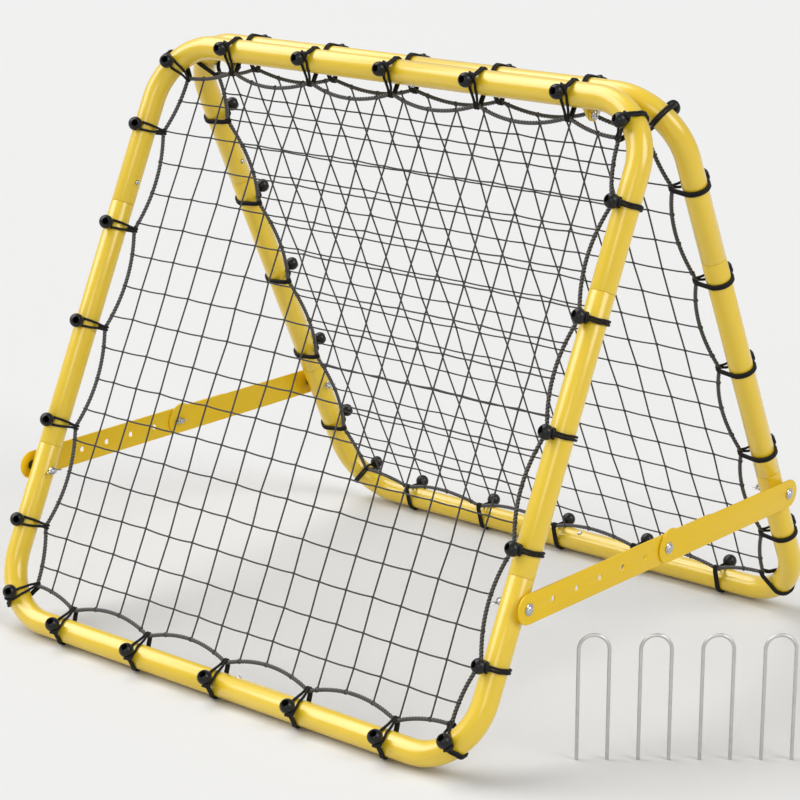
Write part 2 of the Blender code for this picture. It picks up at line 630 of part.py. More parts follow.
def net(face, path):
    """The net: crossing strands with a flat back and a ridge in front, which run out to the rope."""
    half = STRAND / 2
    columns = [NET_SHIFT + NET_WIDTH * (k / (NET_LINES - 1) - 0.5) for k in range(NET_LINES)]
    rows = [NET_BOTTOM_MARGIN + NET_HEIGHT * k / (NET_LINES - 1) for k in range(NET_LINES)]
    bm = bmesh.new()

    def vert(x, up, out):
        return bm.verts.new(in_frame(face, x, out - ROPE_INSET, up))

    def strand(start, end):
        """Joins two triangles of (one back corner, ridge, other back corner)."""
        bm.faces.new((start[0], end[0], end[1], start[1]))
        bm.faces.new((start[1], end[1], end[2], start[2]))
        bm.faces.new((start[2], end[2], end[0], start[0]))

    back = {}
    ridge = {}
    for i, x in enumerate(columns):
        for j, up in enumerate(rows):
            ridge[i, j] = vert(x, up, half)
            for a in (-1, 1):
                for b in (-1, 1):
                    back[i, j, a, b] = vert(x + a * half, up + b * half, -half)
            bm.faces.new([back[i, j, a, b] for a, b in ((-1, -1), (1, -1), (1, 1), (-1, 1))])

    def facing(i, j, across, sign):
        """The triangle of a crossing that a strand leaves from: across 0 runs along x, 1 runs up."""
        if across == 0:
            return back[i, j, sign, -1], ridge[i, j], back[i, j, sign, 1]
        return back[i, j, -1, sign], ridge[i, j], back[i, j, 1, sign]

    last = NET_LINES - 1
    for k in range(NET_LINES):
        for step in range(last):
            strand(facing(step, k, 0, 1), facing(step + 1, k, 0, -1))
            strand(facing(k, step, 1, 1), facing(k, step + 1, 1, -1))
        for sign, step in ((-1, 0), (1, last)):
            reach = rope_edge(path, 1, rows[k], sign)
            tip = (vert(reach, rows[k] - half, -half), vert(reach, rows[k], half), vert(reach, rows[k] + half, -half))
            strand(facing(step, k, 0, sign), tip)
            bm.faces.new(tip)
            reach = rope_edge(path, 0, columns[k], sign)
            tip = (
                vert(columns[k] - half, reach, -half), vert(columns[k], reach, half),
                vert(columns[k] + half, reach, -half),
            )
            strand(facing(k, step, 1, sign), tip)
            bm.faces.new(tip)
    return bm


def stake():
    """A U of wire standing on its two legs."""
    half = STAKE_GAUGE / 2
    shoulder = STAKE_HEIGHT - STAKE_WIRE_RADIUS - half
    spots = [(-half, 0.0, 180.0)]
    for k in range(STAKE_BEND_STEPS + 1):
        angle = 180.0 - 180.0 * k / STAKE_BEND_STEPS
        spots.append((half * math.cos(math.radians(angle)), shoulder + half * math.sin(math.radians(angle)), angle))
    spots.append((half, 0.0, 0.0))
    rings = []
    for x, z, angle in spots:
        ring = []
        for j in range(STAKE_WIRE_SIDES):
            turn = 2 * math.pi * j / STAKE_WIRE_SIDES
            across = STAKE_WIRE_RADIUS * math.cos(turn)
            spoke = Vector((math.cos(math.radians(angle)), 0, math.sin(math.radians(angle)))) * across
            ring.append(Vector((x, STAKE_WIRE_RADIUS * math.sin(turn), z)) + spoke)
        rings.append(ring)
    bm = bmesh.new()
    skin(bm, rings, False)
    return bm


def build_stakes():
    for k in range(STAKE_COUNT):
        x = MIDDLE_X + STAKE_ROW_X + k * STAKE_PITCH * math.cos(ROW_TURN)
        y = STAKE_ROW_Y + k * STAKE_PITCH * math.sin(ROW_TURN)
        wire = piece(f"stake_{k + 1}", stake(), None, (x, y, 0), "galvanised")
        wire.rotation_euler.z = ROW_TURN


def ground_block():
    """Everything below the ground, cut off the cords that the rebounder stands on."""
    bm = bmesh.new()
    corners = [(-1, -1), (1, -1), (1, 1), (-1, 1)]
    size = FRAME_WIDTH + FRAME_HEIGHT
    skin(bm, [[Vector((x * size, y * size, z)) for x, y in corners] for z in (-TUBE_DIAMETER, 0.0)], False)
    return helper("ground_block", bm, None, (0, 0, 0))


clear_scene()
GROUND = ground_block()
CARRIERS = {}
LEVELS = {}
for face_name, face in FACES.items():
    carrier = empty(face_name + "_frame", None, (MIDDLE_X, 0, HINGE_Z), face * LEAN)
    CARRIERS[face_name] = carrier
    build_buttons(face_name, carrier, build_tubes(face_name, carrier))
    build_ties(face_name, carrier, GROUND)
    piece(face_name + "_net", net(face, rope_path()), carrier, (0, 0, 0), "net_cord")
    for side_name in SIDES:
        LEVELS[face_name, side_name] = build_brace(face_name, side_name, carrier)
build_hinge(CARRIERS["front"])
for side_name in SIDES:
    build_middle_bolt(side_name, LEVELS)
build_stakes()
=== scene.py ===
"""Looks of the folding soccer rebounder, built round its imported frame.

Metres, +Z up, in the frame's own axes.
"""

import json
import math
import random

import bmesh
import bpy
from mathutils import Matrix, Vector


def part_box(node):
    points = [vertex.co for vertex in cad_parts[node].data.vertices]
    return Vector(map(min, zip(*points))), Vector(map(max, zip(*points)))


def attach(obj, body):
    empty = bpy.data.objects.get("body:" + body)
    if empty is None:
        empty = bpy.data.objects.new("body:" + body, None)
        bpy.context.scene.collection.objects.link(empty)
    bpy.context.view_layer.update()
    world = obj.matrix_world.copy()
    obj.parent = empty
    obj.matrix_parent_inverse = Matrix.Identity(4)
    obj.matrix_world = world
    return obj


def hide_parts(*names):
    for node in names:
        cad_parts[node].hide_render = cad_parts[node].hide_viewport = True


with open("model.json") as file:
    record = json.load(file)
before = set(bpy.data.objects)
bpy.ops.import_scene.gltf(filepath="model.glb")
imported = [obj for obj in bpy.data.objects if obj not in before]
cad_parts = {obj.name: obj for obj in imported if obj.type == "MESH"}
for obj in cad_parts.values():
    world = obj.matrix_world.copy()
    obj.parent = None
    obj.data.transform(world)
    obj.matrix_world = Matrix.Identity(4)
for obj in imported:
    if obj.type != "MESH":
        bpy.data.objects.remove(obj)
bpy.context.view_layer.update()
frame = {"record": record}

# Stage
# A plain pale floor under four broad lamps: on the left, above, on the right and, weaker, in front.
# The camera stands at the front right, higher than the top tubes, behind a long lens.
LENS_PIXELS = 2475.16
PHOTO_PIXELS = 800
SENSOR_WIDTH = 36.0
CAMERA_PLACE = (2.2998, -2.8772, 1.4555)
CAMERA_TURN = 40.262
CAMERA_DOWN = 16.127
FLOOR_HALF = 30.0
FLOOR_DROP = 0.0005
FLOOR_GREY = (0.70, 0.70, 0.695, 1.0)
FLOOR_PALE = (0.76, 0.76, 0.76, 1.0)
SKY_LIGHT = 0.22
SKY_SEEN = 0.86
SKY_GLOSS = 0.6
# Each lamp: the way towards it, its spread in degrees and its strength.
LAMPS = {
    "key": ((-0.62, -0.45, 0.64), 42, 1.70),
    "top": ((-0.50, 0.07, 0.85), 40, 1.25),
    "side": ((0.75, 0.05, 0.55), 36, 1.40),
    "fill": ((0.45, -0.80, 0.38), 24, 0.40),
}

lens = bpy.data.cameras.new("photo_camera")
lens.sensor_width = SENSOR_WIDTH
lens.lens = SENSOR_WIDTH * LENS_PIXELS / PHOTO_PIXELS
camera = bpy.data.objects.new("photo_camera", lens)
camera.location = CAMERA_PLACE
camera.rotation_euler = (math.radians(90 - CAMERA_DOWN), 0, math.radians(CAMERA_TURN))
bpy.context.collection.objects.link(camera)
bpy.context.scene.camera = camera
bpy.context.scene.view_settings.view_transform = "Standard"

for lamp_name, (lamp_way, spread, strength) in LAMPS.items():
    lamp_data = bpy.data.lights.new(lamp_name + "_lamp", "SUN")
    lamp_data.angle = math.radians(spread)
    lamp_data.energy = strength
    lamp = bpy.data.objects.new(lamp_name + "_lamp", lamp_data)
    lamp.rotation_euler = Vector(lamp_way).to_track_quat("Z", "Y").to_euler()
    bpy.context.collection.objects.link(lamp)

world = bpy.data.worlds.new("studio")
world.use_nodes = True
sky = world.node_tree.nodes["Background"]
sky.inputs["Color"].default_value = (1.0, 1.0, 1.0, 1.0)
ray = world.node_tree.nodes.new("ShaderNodeLightPath")
level = sky.inputs["Strength"]
for kind, strength in (("Is Camera Ray", SKY_SEEN), ("Is Glossy Ray", SKY_GLOSS)):
    chosen = world.node_tree.nodes.new("ShaderNodeMapRange")
    chosen.inputs["To Max"].default_value = strength
    world.node_tree.links.new(ray.outputs[kind], chosen.inputs["Value"])
    world.node_tree.links.new(chosen.outputs["Result"], level)
    level = chosen.inputs["To Min"]
level.default_value = SKY_LIGHT
bpy.context.scene.world = world


class Wire:
    """A node's output, on which sums are written as Python expressions."""

    def __init__(self, finish, socket):
        self.finish = finish
        self.socket = socket

    def sum(self, operation, first, second):
        return self.finish.node("Math", {"operation": operation}, {0: first, 1: second})

    def __add__(self, other):
        return self.sum("ADD", self, other)

    def __sub__(self, other):
        return self.sum("SUBTRACT", self, other)

    def __mul__(self, other):
        return self.sum("MULTIPLY", self, other)


class Finish:
    """A material that is put together node by node."""

    def __init__(self, name, **plain):
        self.material = bpy.data.materials.new(name)
        self.material.use_nodes = True
        self.nodes = self.material.node_tree.nodes
        self.surface = self.nodes["Principled BSDF"]
        self.where = self.node("TexCoord", {}, {}, "Object")
        for socket, value in plain.items():
            self.feed(socket.replace("_", " ").title().replace("Ior", "IOR"), value)

    def plug(self, socket, value):
        if isinstance(value, Wire):
            self.material.node_tree.links.new(value.socket, socket)
        else:
            socket.default_value = value

    def feed(self, socket, value):
        self.plug(self.surface.inputs[socket], value)

    def node(self, kind, settings, inputs, output=0):
        made = self.nodes.new("ShaderNode" + kind)
        for key, value in settings.items():
            setattr(made, key, value)
        for key, value in inputs.items():
            self.plug(made.inputs[key], value)
        return Wire(self, made.outputs[output])

    def noise(self, scale, detail=2.0):
        return self.node("TexNoise", {}, {"Vector": self.where, "Scale": scale, "Detail": detail})

    def blend(self, share, colour, other):
        """A colour between two, by a share from 0 to 1."""
        return self.node("Mix", {"data_type": "RGBA"}, {"Factor": share, 6: colour, 7: other}, 2)

    def tint(self, colour, other, scale, detail=2.0):
        """Colours the surface in patches between two colours."""
        self.feed("Base Color", self.blend(self.noise(scale, detail), colour, other))

    def roughen(self, low, spread, scale, detail=2.0):
        """Makes the surface rough in patches, from a low value up by as much as the spread."""
        self.feed("Roughness", self.noise(scale, detail) * spread + low)

    def relief(self, height, depth, strength=1.0):
        """Raises the surface by a height from 0 to 1, times a depth in metres."""
        bump = self.node("Bump", {}, {"Height": height, "Distance": depth, "Strength": strength})
        self.feed("Normal", bump)


floor_finish = Finish("floor_card", roughness=0.9)
floor_finish.feed("Base Color", floor_finish.blend(floor_finish.noise(0.6) * 0.1, FLOOR_GREY, FLOOR_PALE))
floor_mesh = bpy.data.meshes.new("floor")
floor_corners = [(x * FLOOR_HALF, y * FLOOR_HALF, 0) for x, y in ((-1, -1), (1, -1), (1, 1), (-1, 1))]
floor_mesh.from_pydata(floor_corners, [], [(0, 1, 2, 3)])
floor_mesh.materials.append(floor_finish.material)
floor = bpy.data.objects.new("floor", floor_mesh)
floor.location.z = -FLOOR_DROP
bpy.context.collection.objects.link(floor)

# Painted tubes
# Each net frame plugs together from four bent corner tubes and two straight side tubes of 38 mm steel,
# powder coated in glossy yellow. The cut ends are lightly rounded, so the seams show as thin lines.
TUBE_RADIUS = 0.019
TUBE_WALL = 0.0015
TUBE_SIDES = 48
TUBE_END_ROUND = 0.0007
HALF_WIDTH = 0.481
LOOP_HEIGHT = 0.962
CORNER_RADIUS = 0.100
CORNER_START = HALF_WIDTH - CORNER_RADIUS
CORNER_TURN = CORNER_RADIUS * math.pi / 2
CORNER_STEPS = 20
SEAM_FROM_END = 0.2755
SEAM_GAP = 0.0003
SPIGOT_LENGTH = 0.060
SPIGOT_RADIUS = 0.0171
SWAGE = 0.006
BORE_RADIUS = TUBE_RADIUS - TUBE_WALL
SPIGOT_BORE_RADIUS = SPIGOT_RADIUS - TUBE_WALL
PAINT_YELLOW = (0.78, 0.530, 0.014, 1.0)
PAINT_LIGHT = (0.82, 0.575, 0.022, 1.0)
LEAN = math.radians(25.44)
HINGE_SETBACK = 0.0317
HINGE_DROP = 0.0173
FACES = {"front": -1, "rear": 1}
SIDES = {"left": -1, "right": 1}
ENDS = {"bottom": -1, "top": 1}

joints = {joint["name"]: joint for joint in frame["record"]["behaviour"]["joints"]}
hinge_place = Vector(joints["frame_fold"]["pos_m"])
standing = {
    face: Matrix.Translation(hinge_place) @ Matrix.Rotation(face * LEAN, 4, "X") for face in FACES.values()
}


def spot(face, x, out, up):
    """A point of a standing frame: x, distance out from its plane, and up from its bottom tube's centre."""
    return standing[face] @ Vector((x, face * (HINGE_SETBACK + out), up - LOOP_HEIGHT + HINGE_DROP))


def loft(bm, rings, closed=False, slot=0):
    """Joins rings of equal point count with quads; an open run gets flat ends."""
    loops = [[bm.verts.new(point) for point in ring] for ring in rings]
    count = len(loops[0])
    faces = []
    for k in range(len(loops) if closed else len(loops) - 1):
        here = loops[k]
        there = loops[(k + 1) % len(loops)]
        for j in range(count):
            faces.append(bm.faces.new((here[j], here[(j + 1) % count], there[(j + 1) % count], there[j])))
    if not closed:
        faces.append(bm.faces.new(loops[0]))
        faces.append(bm.faces.new(loops[-1]))
    for made in faces:
        made.material_index = slot


def thing_from(name, bm):
    """Turns a mesh under construction into an object, with its faces pointing outwards."""
    bmesh.ops.recalc_face_normals(bm, faces=bm.faces)
    mesh = bpy.data.meshes.new(name)
    bm.to_mesh(mesh)
    bm.free()
    thing = bpy.data.objects.new(name, mesh)
    bpy.context.collection.objects.link(thing)
    return thing


def piece(name, bm, body, finishes, nodes, sharp=40):
    """Makes a piece of the object from a mesh: it rides on a body and stands for the CAD nodes."""
    thing = thing_from(name, bm)
    thing.data.shade_smooth()
    thing.data.set_sharp_from_angle(angle=math.radians(sharp))
    for finish in finishes:
        thing.data.materials.append(finish.material)
    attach(thing, body)
    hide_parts(*nodes)
    return thing


def tube_ring(face, x, up, normal, radius):
    """A ring round the tube's centre line, in a plane with the line's outward normal."""
    ring = []
    for j in range(TUBE_SIDES):
        turn = 2 * math.pi * j / TUBE_SIDES
        across = radius * math.cos(turn)
        ring.append(spot(face, x + normal[0] * across, radius * math.sin(turn), up + normal[1] * across))
    return ring


def on_corner(side, end, distance):
    """A corner tube's centre line: x, up and outward normal at a distance from the middle seam."""
    turn = min(max((distance - CORNER_START) / CORNER_RADIUS, 0.0), math.pi / 2)
    x = min(distance, CORNER_START) + CORNER_RADIUS * math.sin(turn)
    rise = CORNER_RADIUS * (1 - math.cos(turn)) + max(distance - CORNER_START - CORNER_TURN, 0.0)
    up = LOOP_HEIGHT - rise if end > 0 else rise
    return side * x, up, (side * math.sin(turn), end * math.cos(turn))


def rounded_end(distance, towards, outer, inner):
    """Stations round a cut end, from the outer wall to the inner wall; towards is 1 at a far end."""
    halfway = TUBE_END_ROUND * 0.3
    return [
        (distance - towards * TUBE_END_ROUND, outer), (distance - towards * halfway, outer - halfway),
        (distance, outer - TUBE_END_ROUND), (distance, inner),
    ]


paint = Finish("yellow_powder_coat", coat_weight=1.0, coat_roughness=0.20, specular_ior_level=0.4)
paint.tint(PAINT_YELLOW, PAINT_LIGHT, 7.0)
paint.roughen(0.32, 0.16, 30.0, 4.0)
paint.relief(paint.noise(420.0, 1.0) * 0.8 + paint.noise(55.0) * 0.5, 0.00006)

bend = [CORNER_START + CORNER_TURN * k / CORNER_STEPS for k in range(CORNER_STEPS + 1)]
bend_end = CORNER_START + CORNER_TURN + SEAM_FROM_END - CORNER_RADIUS
low = SEAM_FROM_END + SEAM_GAP
high = LOOP_HEIGHT - SEAM_FROM_END - SEAM_GAP
tubes = {}
for face_name, face in FACES.items():
    for end_name, end in ENDS.items():
        for side_name, side in SIDES.items():
            if side < 0:
                first = [(-SPIGOT_LENGTH, SPIGOT_RADIUS), (SEAM_GAP, SPIGOT_RADIUS)]
                first += rounded_end(SEAM_GAP, -1, TUBE_RADIUS, SPIGOT_RADIUS)[2::-1]
                last = [(SWAGE, BORE_RADIUS), (0.0, SPIGOT_BORE_RADIUS), (-SPIGOT_LENGTH, SPIGOT_BORE_RADIUS)]
            else:
                first = rounded_end(0.0, -1, TUBE_RADIUS, BORE_RADIUS)[2::-1]
                last = [(0.0, BORE_RADIUS)]
            stations = first + [(distance, TUBE_RADIUS) for distance in bend]
            stations += rounded_end(bend_end, 1, TUBE_RADIUS, BORE_RADIUS)
            stations += [(distance, BORE_RADIUS) for distance in bend[::-1]] + last
            bm = bmesh.new()
            loft(bm, [tube_ring(face, *on_corner(side, end, at), radius) for at, radius in stations], True)
            node = f"{face_name}_{end_name}_{side_name}_tube"
            name = f"{face_name}_{end_name}_{side_name}_bend"
            tubes[face, end, side] = piece(name, bm, face_name + "_frame", [paint], [node])
    for side_name, side in SIDES.items():
        stations = [(low - SPIGOT_LENGTH, SPIGOT_RADIUS), (low, SPIGOT_RADIUS)]
        stations += rounded_end(low, -1, TUBE_RADIUS, SPIGOT_RADIUS)[2::-1]
        stations += rounded_end(high, 1, TUBE_RADIUS, SPIGOT_RADIUS)
        stations += [
            (high + SPIGOT_LENGTH, SPIGOT_RADIUS), (high + SPIGOT_LENGTH, SPIGOT_BORE_RADIUS),
            (high, SPIGOT_BORE_RADIUS), (high - SWAGE, BORE_RADIUS), (low + SWAGE, BORE_RADIUS),
            (low, SPIGOT_BORE_RADIUS), (low - SPIGOT_LENGTH, SPIGOT_BORE_RADIUS),
        ]
        rings = [tube_ring(face, side * HALF_WIDTH, up, (side, 0.0), radius) for up, radius in stations]
        bm = bmesh.new()
        loft(bm, rings, True)
        node = f"{face_name}_{side_name}_side_tube"
        name = f"{face_name}_{side_name}_straight"
        tubes[face, 0, side] = piece(name, bm, face_name + "_frame", [paint], [node])

# Hinge ears
# Plates of 3 mm steel, welded under the top tubes with a bead along both faces and painted with them.
# The rear ears overlap the front ones on the outside, and one bolt joins each pair.
EAR_X = 0.3545
EAR_THICKNESS = 0.003
EAR_TIP_RADIUS = 0.011
EAR_ROOT_HALF_ANGLE = 42.0
EAR_TIP_HALF_ANGLE = 80.0
EAR_ROOT_STEPS = 12
EAR_TIP_STEPS = 20
EAR_EDGE = 0.0006
BOLT_HOLE_RADIUS = 0.0046
WELD_RADIUS = 0.0016
WELD_SIDES = 8
WELD_STEPS = 30
WELD_SHORT = 6
WELD_RIPPLE = 0.0003
WELD_RIPPLE_STEP = 1.7


def arc(centre, radius, start, end, steps):
    """Points on a circle in a plane, with angles in degrees."""
    turns = [math.radians(start + (end - start) * k / steps) for k in range(steps + 1)]
    return [(centre[0] + radius * math.cos(turn), centre[1] + radius * math.sin(turn)) for turn in turns]


def bolt_hole(x, y):
    """The outline of a bolt's hole, in 24 points."""
    return arc((x, y), BOLT_HOLE_RADIUS, 0, 345, 23)


def settled_mesh(thing):
    """The mesh of an object with its bevels and cuts worked out."""
    bpy.context.view_layer.update()
    return bpy.data.meshes.new_from_object(thing.evaluated_get(bpy.context.evaluated_depsgraph_get()))


def cut_plate(name, loops, thickness, edge, at, across, upward, body, finish, nodes):
    """A flat plate with rounded edges: its outline and holes are drawn from a point along two directions."""
    drawing = bpy.data.curves.new(name, "CURVE")
    drawing.dimensions = "2D"
    drawing.fill_mode = "BOTH"
    drawing.extrude = thickness / 2 - edge
    drawing.bevel_depth = edge
    drawing.bevel_resolution = 2
    drawing.offset = -edge
    for loop in loops:
        line = drawing.splines.new("POLY")
        line.points.add(len(loop) - 1)
        for point, (x, y) in zip(line.points, loop):
            point.co = (x, y, 0, 1)
        line.use_cyclic_u = True
    drawn = bpy.data.objects.new(name + "_drawing", drawing)
    bpy.context.collection.objects.link(drawn)
    mesh = settled_mesh(drawn)
    bpy.data.objects.remove(drawn, do_unlink=True)
    normal = across.cross(upward)
    mesh.transform(Matrix.Translation(at) @ Matrix((across, upward, normal)).transposed().to_4x4())
    bm = bmesh.new()
    bm.from_mesh(mesh)
    bmesh.ops.remove_doubles(bm, verts=bm.verts, dist=0.00001)
    piece(name, bm, body, [finish], nodes, sharp=50)


def circle(centre, across, other, radius, sides):
    """Points on a circle in the plane of two directions."""
    turns = [2 * math.pi * j / sides for j in range(sides)]
    return [centre + (across * math.cos(turn) + other * math.sin(turn)) * radius for turn in turns]


def add_cord(bm, points, radius, sides, closed=False):
    """Adds a round cord along points, turned from point to point without twist."""
    rings = []
    count = len(points)
    side = None
    for k, point in enumerate(points):
        if closed:
            run = points[(k + 1) % count] - points[k - 1]
        else:
            run = points[min(k + 1, count - 1)] - points[max(k - 1, 0)]
        along = run.normalized()
        side = along.orthogonal() if side is None else side - along * side.dot(along)
        side.normalize()
        rings.append(circle(point, side, along.cross(side), radius, sides))
    loft(bm, rings, closed)


hinge_way = math.degrees(math.atan2(-HINGE_DROP, -HINGE_SETBACK))
for face_name, face in FACES.items():
    outward = standing[face].to_3x3() @ Vector((0, face, 0))
    upward = standing[face].to_3x3() @ Vector((0, 0, 1))
    for side_name, side in SIDES.items():
        name = f"{face_name}_{side_name}_ear"
        root = EAR_ROOT_HALF_ANGLE
        tip = EAR_TIP_HALF_ANGLE
        middle_of_wall = TUBE_RADIUS - TUBE_WALL / 2
        outline = arc((0, 0), middle_of_wall, hinge_way + root, hinge_way - root, EAR_ROOT_STEPS)
        bolt_place = (-HINGE_SETBACK, -HINGE_DROP)
        outline += arc(bolt_place, EAR_TIP_RADIUS, hinge_way - tip, hinge_way + tip, EAR_TIP_STEPS)
        hole = bolt_hole(*bolt_place)
        middle = EAR_X + EAR_THICKNESS / 2 + (EAR_THICKNESS + SEAM_GAP if face > 0 else 0.0)
        at = spot(face, side * middle, 0.0, LOOP_HEIGHT)
        node = f"{face_name}_top_{side_name}_tube"
        cut_plate(
            name, [outline, hole], EAR_THICKNESS, EAR_EDGE, at, outward, upward,
            face_name + "_frame", paint, [node],
        )
        reach = root - WELD_SHORT
        welded = arc((0, 0), TUBE_RADIUS, hinge_way + reach, hinge_way - reach, WELD_STEPS)
        bm = bmesh.new()
        for x in (middle - EAR_THICKNESS / 2, middle + EAR_THICKNESS / 2):
            seam = []
            for k, (out, up) in enumerate(welded):
                ripple = WELD_RIPPLE * math.sin(k * WELD_RIPPLE_STEP)
                seam.append(spot(face, side * (x + ripple), out, LOOP_HEIGHT + up))
            add_cord(bm, seam, WELD_RADIUS, WELD_SIDES)
        piece(f"{name}_weld", bm, face_name + "_frame", [paint], [node], sharp=60)

# Spring buttons
# Zinc plated snap buttons that lock the plugged tubes: a domed pin on a flange inside the spigot.
# They stand out on the inner side of the side tubes and beside the middle seams.
BUTTON_RADIUS = 0.0036
BUTTON_HOLE_RADIUS = 0.0042
BUTTON_RISE = 0.0025
BUTTON_STRAIGHT_SHARE = 0.35
BUTTON_FLANGE_RADIUS = 0.0052
BUTTON_FLANGE = 0.0012
BUTTON_SINK = 0.0008
BUTTON_ABOVE_SEAM = 0.037
BUTTON_FROM_MIDDLE = 0.042
BUTTON_SIDES = 32
DOME_END = 85.0
DOME_STEPS = 7
DRILL_REACH = TUBE_RADIUS * 1.5
DRILL_SIDES = 24
ZINC_DARK = (0.42, 0.43, 0.45, 1.0)
ZINC_LIGHT = (0.62, 0.63, 0.65, 1.0)


def round_ring(centre, axis, radius, sides):
    """Points on a circle round an axis."""
    across = axis.orthogonal().normalized()
    return circle(centre, across, axis.normalized().cross(across), radius, sides)


def add_turned(bm, stations, centre, axis, sides, slot=0):
    """Adds a turned solid: stations give (distance along the axis, radius) from end to end."""
    along = axis.normalized()
    loft(bm, [round_ring(centre + along * at, along, radius, sides) for at, radius in stations], slot=slot)


def dome(start, rise, radius):
    """Stations of a dome over a flat rim, ending in a small flat."""
    turns = [math.radians(DOME_END * k / DOME_STEPS) for k in range(DOME_STEPS + 1)]
    return [(start + rise * math.sin(turn), radius * math.cos(turn)) for turn in turns]


def drill(thing, start, end, radius):
    """Cuts a round hole through a piece, from one point to another."""
    bm = bmesh.new()
    loft(bm, [round_ring(place, end - start, radius, DRILL_SIDES) for place in (start, end)])
    cutter = thing_from("drill", bm)
    cut = thing.modifiers.new("hole", "BOOLEAN")
    cut.object = cutter
    cut.solver = "EXACT"
    drilled = settled_mesh(thing)
    drilled.name = thing.name
    thing.modifiers.clear()
    thing.data = drilled
    bpy.data.objects.remove(cutter, do_unlink=True)


zinc = Finish("bright_zinc", metallic=1.0)
zinc.tint(ZINC_DARK, ZINC_LIGHT, 90.0, 3.0)
zinc.roughen(0.08, 0.18, 160.0, 3.0)
zinc.relief(zinc.noise(700.0), 0.00004, 0.5)

for face_name, face in FACES.items():
    spots = {}
    for side_name, side in SIDES.items():
        up = LOOP_HEIGHT - SEAM_FROM_END + BUTTON_ABOVE_SEAM
        inward = Vector((-side, 0, 0))
        spots[side_name] = (spot(face, side * HALF_WIDTH, 0, up), inward, ((face, 1, side), (face, 0, side)))
    for end_name, end in ENDS.items():
        inward = standing[face].to_3x3() @ Vector((0, 0, -end))
        at = spot(face, BUTTON_FROM_MIDDLE, 0, LOOP_HEIGHT if end > 0 else 0.0)
        spots[end_name] = (at, inward, ((face, end, -1), (face, end, 1)))
    for where, (at, inward, plugged) in spots.items():
        seat = SPIGOT_BORE_RADIUS - SEAM_GAP - BUTTON_SINK
        straight = BUTTON_RISE * BUTTON_STRAIGHT_SHARE
        stations = [(seat - BUTTON_FLANGE, BUTTON_FLANGE_RADIUS), (seat, BUTTON_FLANGE_RADIUS)]
        stations.append((seat, BUTTON_RADIUS))
        stations += dome(TUBE_RADIUS + straight, BUTTON_RISE - straight, BUTTON_RADIUS)
        bm = bmesh.new()
        add_turned(bm, stations, at, inward, BUTTON_SIDES)
        name = f"{face_name}_{where}_snap_button"
        piece(name, bm, f"{face_name}_{where}_lock", [zinc], [f"{face_name}_{where}_button"])
        for tube in plugged:
            drill(tubes[tube], at, at + inward * DRILL_REACH, BUTTON_HOLE_RADIUS)

# Hinge bolts and nuts
# M8 bolts with a flanged dome head outside and a hex nut inside, bright zinc.
# They pass through the front and rear ears at each end of the top.
BOLT_RADIUS = 0.004
BOLT_END = 0.002
BOLT_SIDES = 40
HEAD_FLANGE_RADIUS = 0.009
HEAD_FLANGE = 0.0015
HEAD_DOME_RADIUS = 0.0065
HEAD_DOME = 0.0036
HEAD_STEP = 0.0004
HEAD_RIM = 0.0006
HEX_NUT_RADIUS = 0.0075
HEX_NUT_HEIGHT = 0.006
HEX_NUT_CHAMFER = 0.00105
HEX_NUT_CHAMFER_RISE = 0.00063
HEX_NUT_BORE = BOLT_HOLE_RADIUS * 1.12
THREAD_PITCH = 0.00125
THREAD_DEPTH = 0.0004
THREADED_LENGTH = 0.014
BOLT_END_TAPER = 0.00064


def shank_stations(start, end):
    """Stations of a bolt's shank from its end up to a seat, with rounded threads on its last stretch."""
    stations = [(start, BOLT_RADIUS - BOLT_END_TAPER), (start + THREAD_DEPTH, BOLT_RADIUS - THREAD_DEPTH)]
    at = start + THREAD_DEPTH
    while at + THREAD_PITCH < min(start + THREADED_LENGTH, end):
        stations += [(at + THREAD_PITCH / 2, BOLT_RADIUS), (at + THREAD_PITCH, BOLT_RADIUS - THREAD_DEPTH)]
        at += THREAD_PITCH
    return stations + [(at + THREAD_PITCH / 4, BOLT_RADIUS), (end, BOLT_RADIUS)]


def make_bolt(name, seat, outward, length, body, node):
    """A bolt whose head sits at a point, with its shank running inward."""
    stations = shank_stations(-length, 0.0) + [
        (0.0, HEAD_FLANGE_RADIUS - HEAD_RIM), (HEAD_RIM, HEAD_FLANGE_RADIUS),
        (HEAD_FLANGE - HEAD_RIM, HEAD_FLANGE_RADIUS), (HEAD_FLANGE, HEAD_FLANGE_RADIUS - HEAD_RIM),
        (HEAD_FLANGE, HEAD_DOME_RADIUS + HEAD_STEP),
    ]
    stations += dome(HEAD_FLANGE + HEAD_STEP, HEAD_DOME - HEAD_STEP, HEAD_DOME_RADIUS)
    bm = bmesh.new()
    add_turned(bm, stations, seat, outward, BOLT_SIDES)
    piece(name, bm, body, [zinc], [node], sharp=35)


ear_stack = 2 * (EAR_THICKNESS + SEAM_GAP)
for side_name, side in SIDES.items():
    name = f"{side_name}_hinge"
    outward = Vector((side, 0, 0))
    head = hinge_place + outward * (EAR_X + ear_stack)
    seat = hinge_place + outward * (EAR_X - SEAM_GAP)
    length = ear_stack + SEAM_GAP + HEX_NUT_HEIGHT + BOLT_END
    make_bolt(f"{name}_bolt_fine", head, outward, length, "front_frame", f"{name}_bolt")
    stations = [
        (0.0, HEX_NUT_RADIUS - HEX_NUT_CHAMFER), (HEX_NUT_CHAMFER_RISE, HEX_NUT_RADIUS),
        (HEX_NUT_HEIGHT - HEX_NUT_CHAMFER_RISE, HEX_NUT_RADIUS),
        (HEX_NUT_HEIGHT, HEX_NUT_RADIUS - HEX_NUT_CHAMFER),
        (HEX_NUT_HEIGHT, HEX_NUT_BORE), (0.0, HEX_NUT_BORE),
    ]
    bm = bmesh.new()
    loft(bm, [round_ring(seat - outward * at, outward, radius, 6) for at, radius in stations], True)
    piece(f"{name}_nut_fine", bm, "front_frame", [zinc], [f"{name}_nut"], sharp=20)

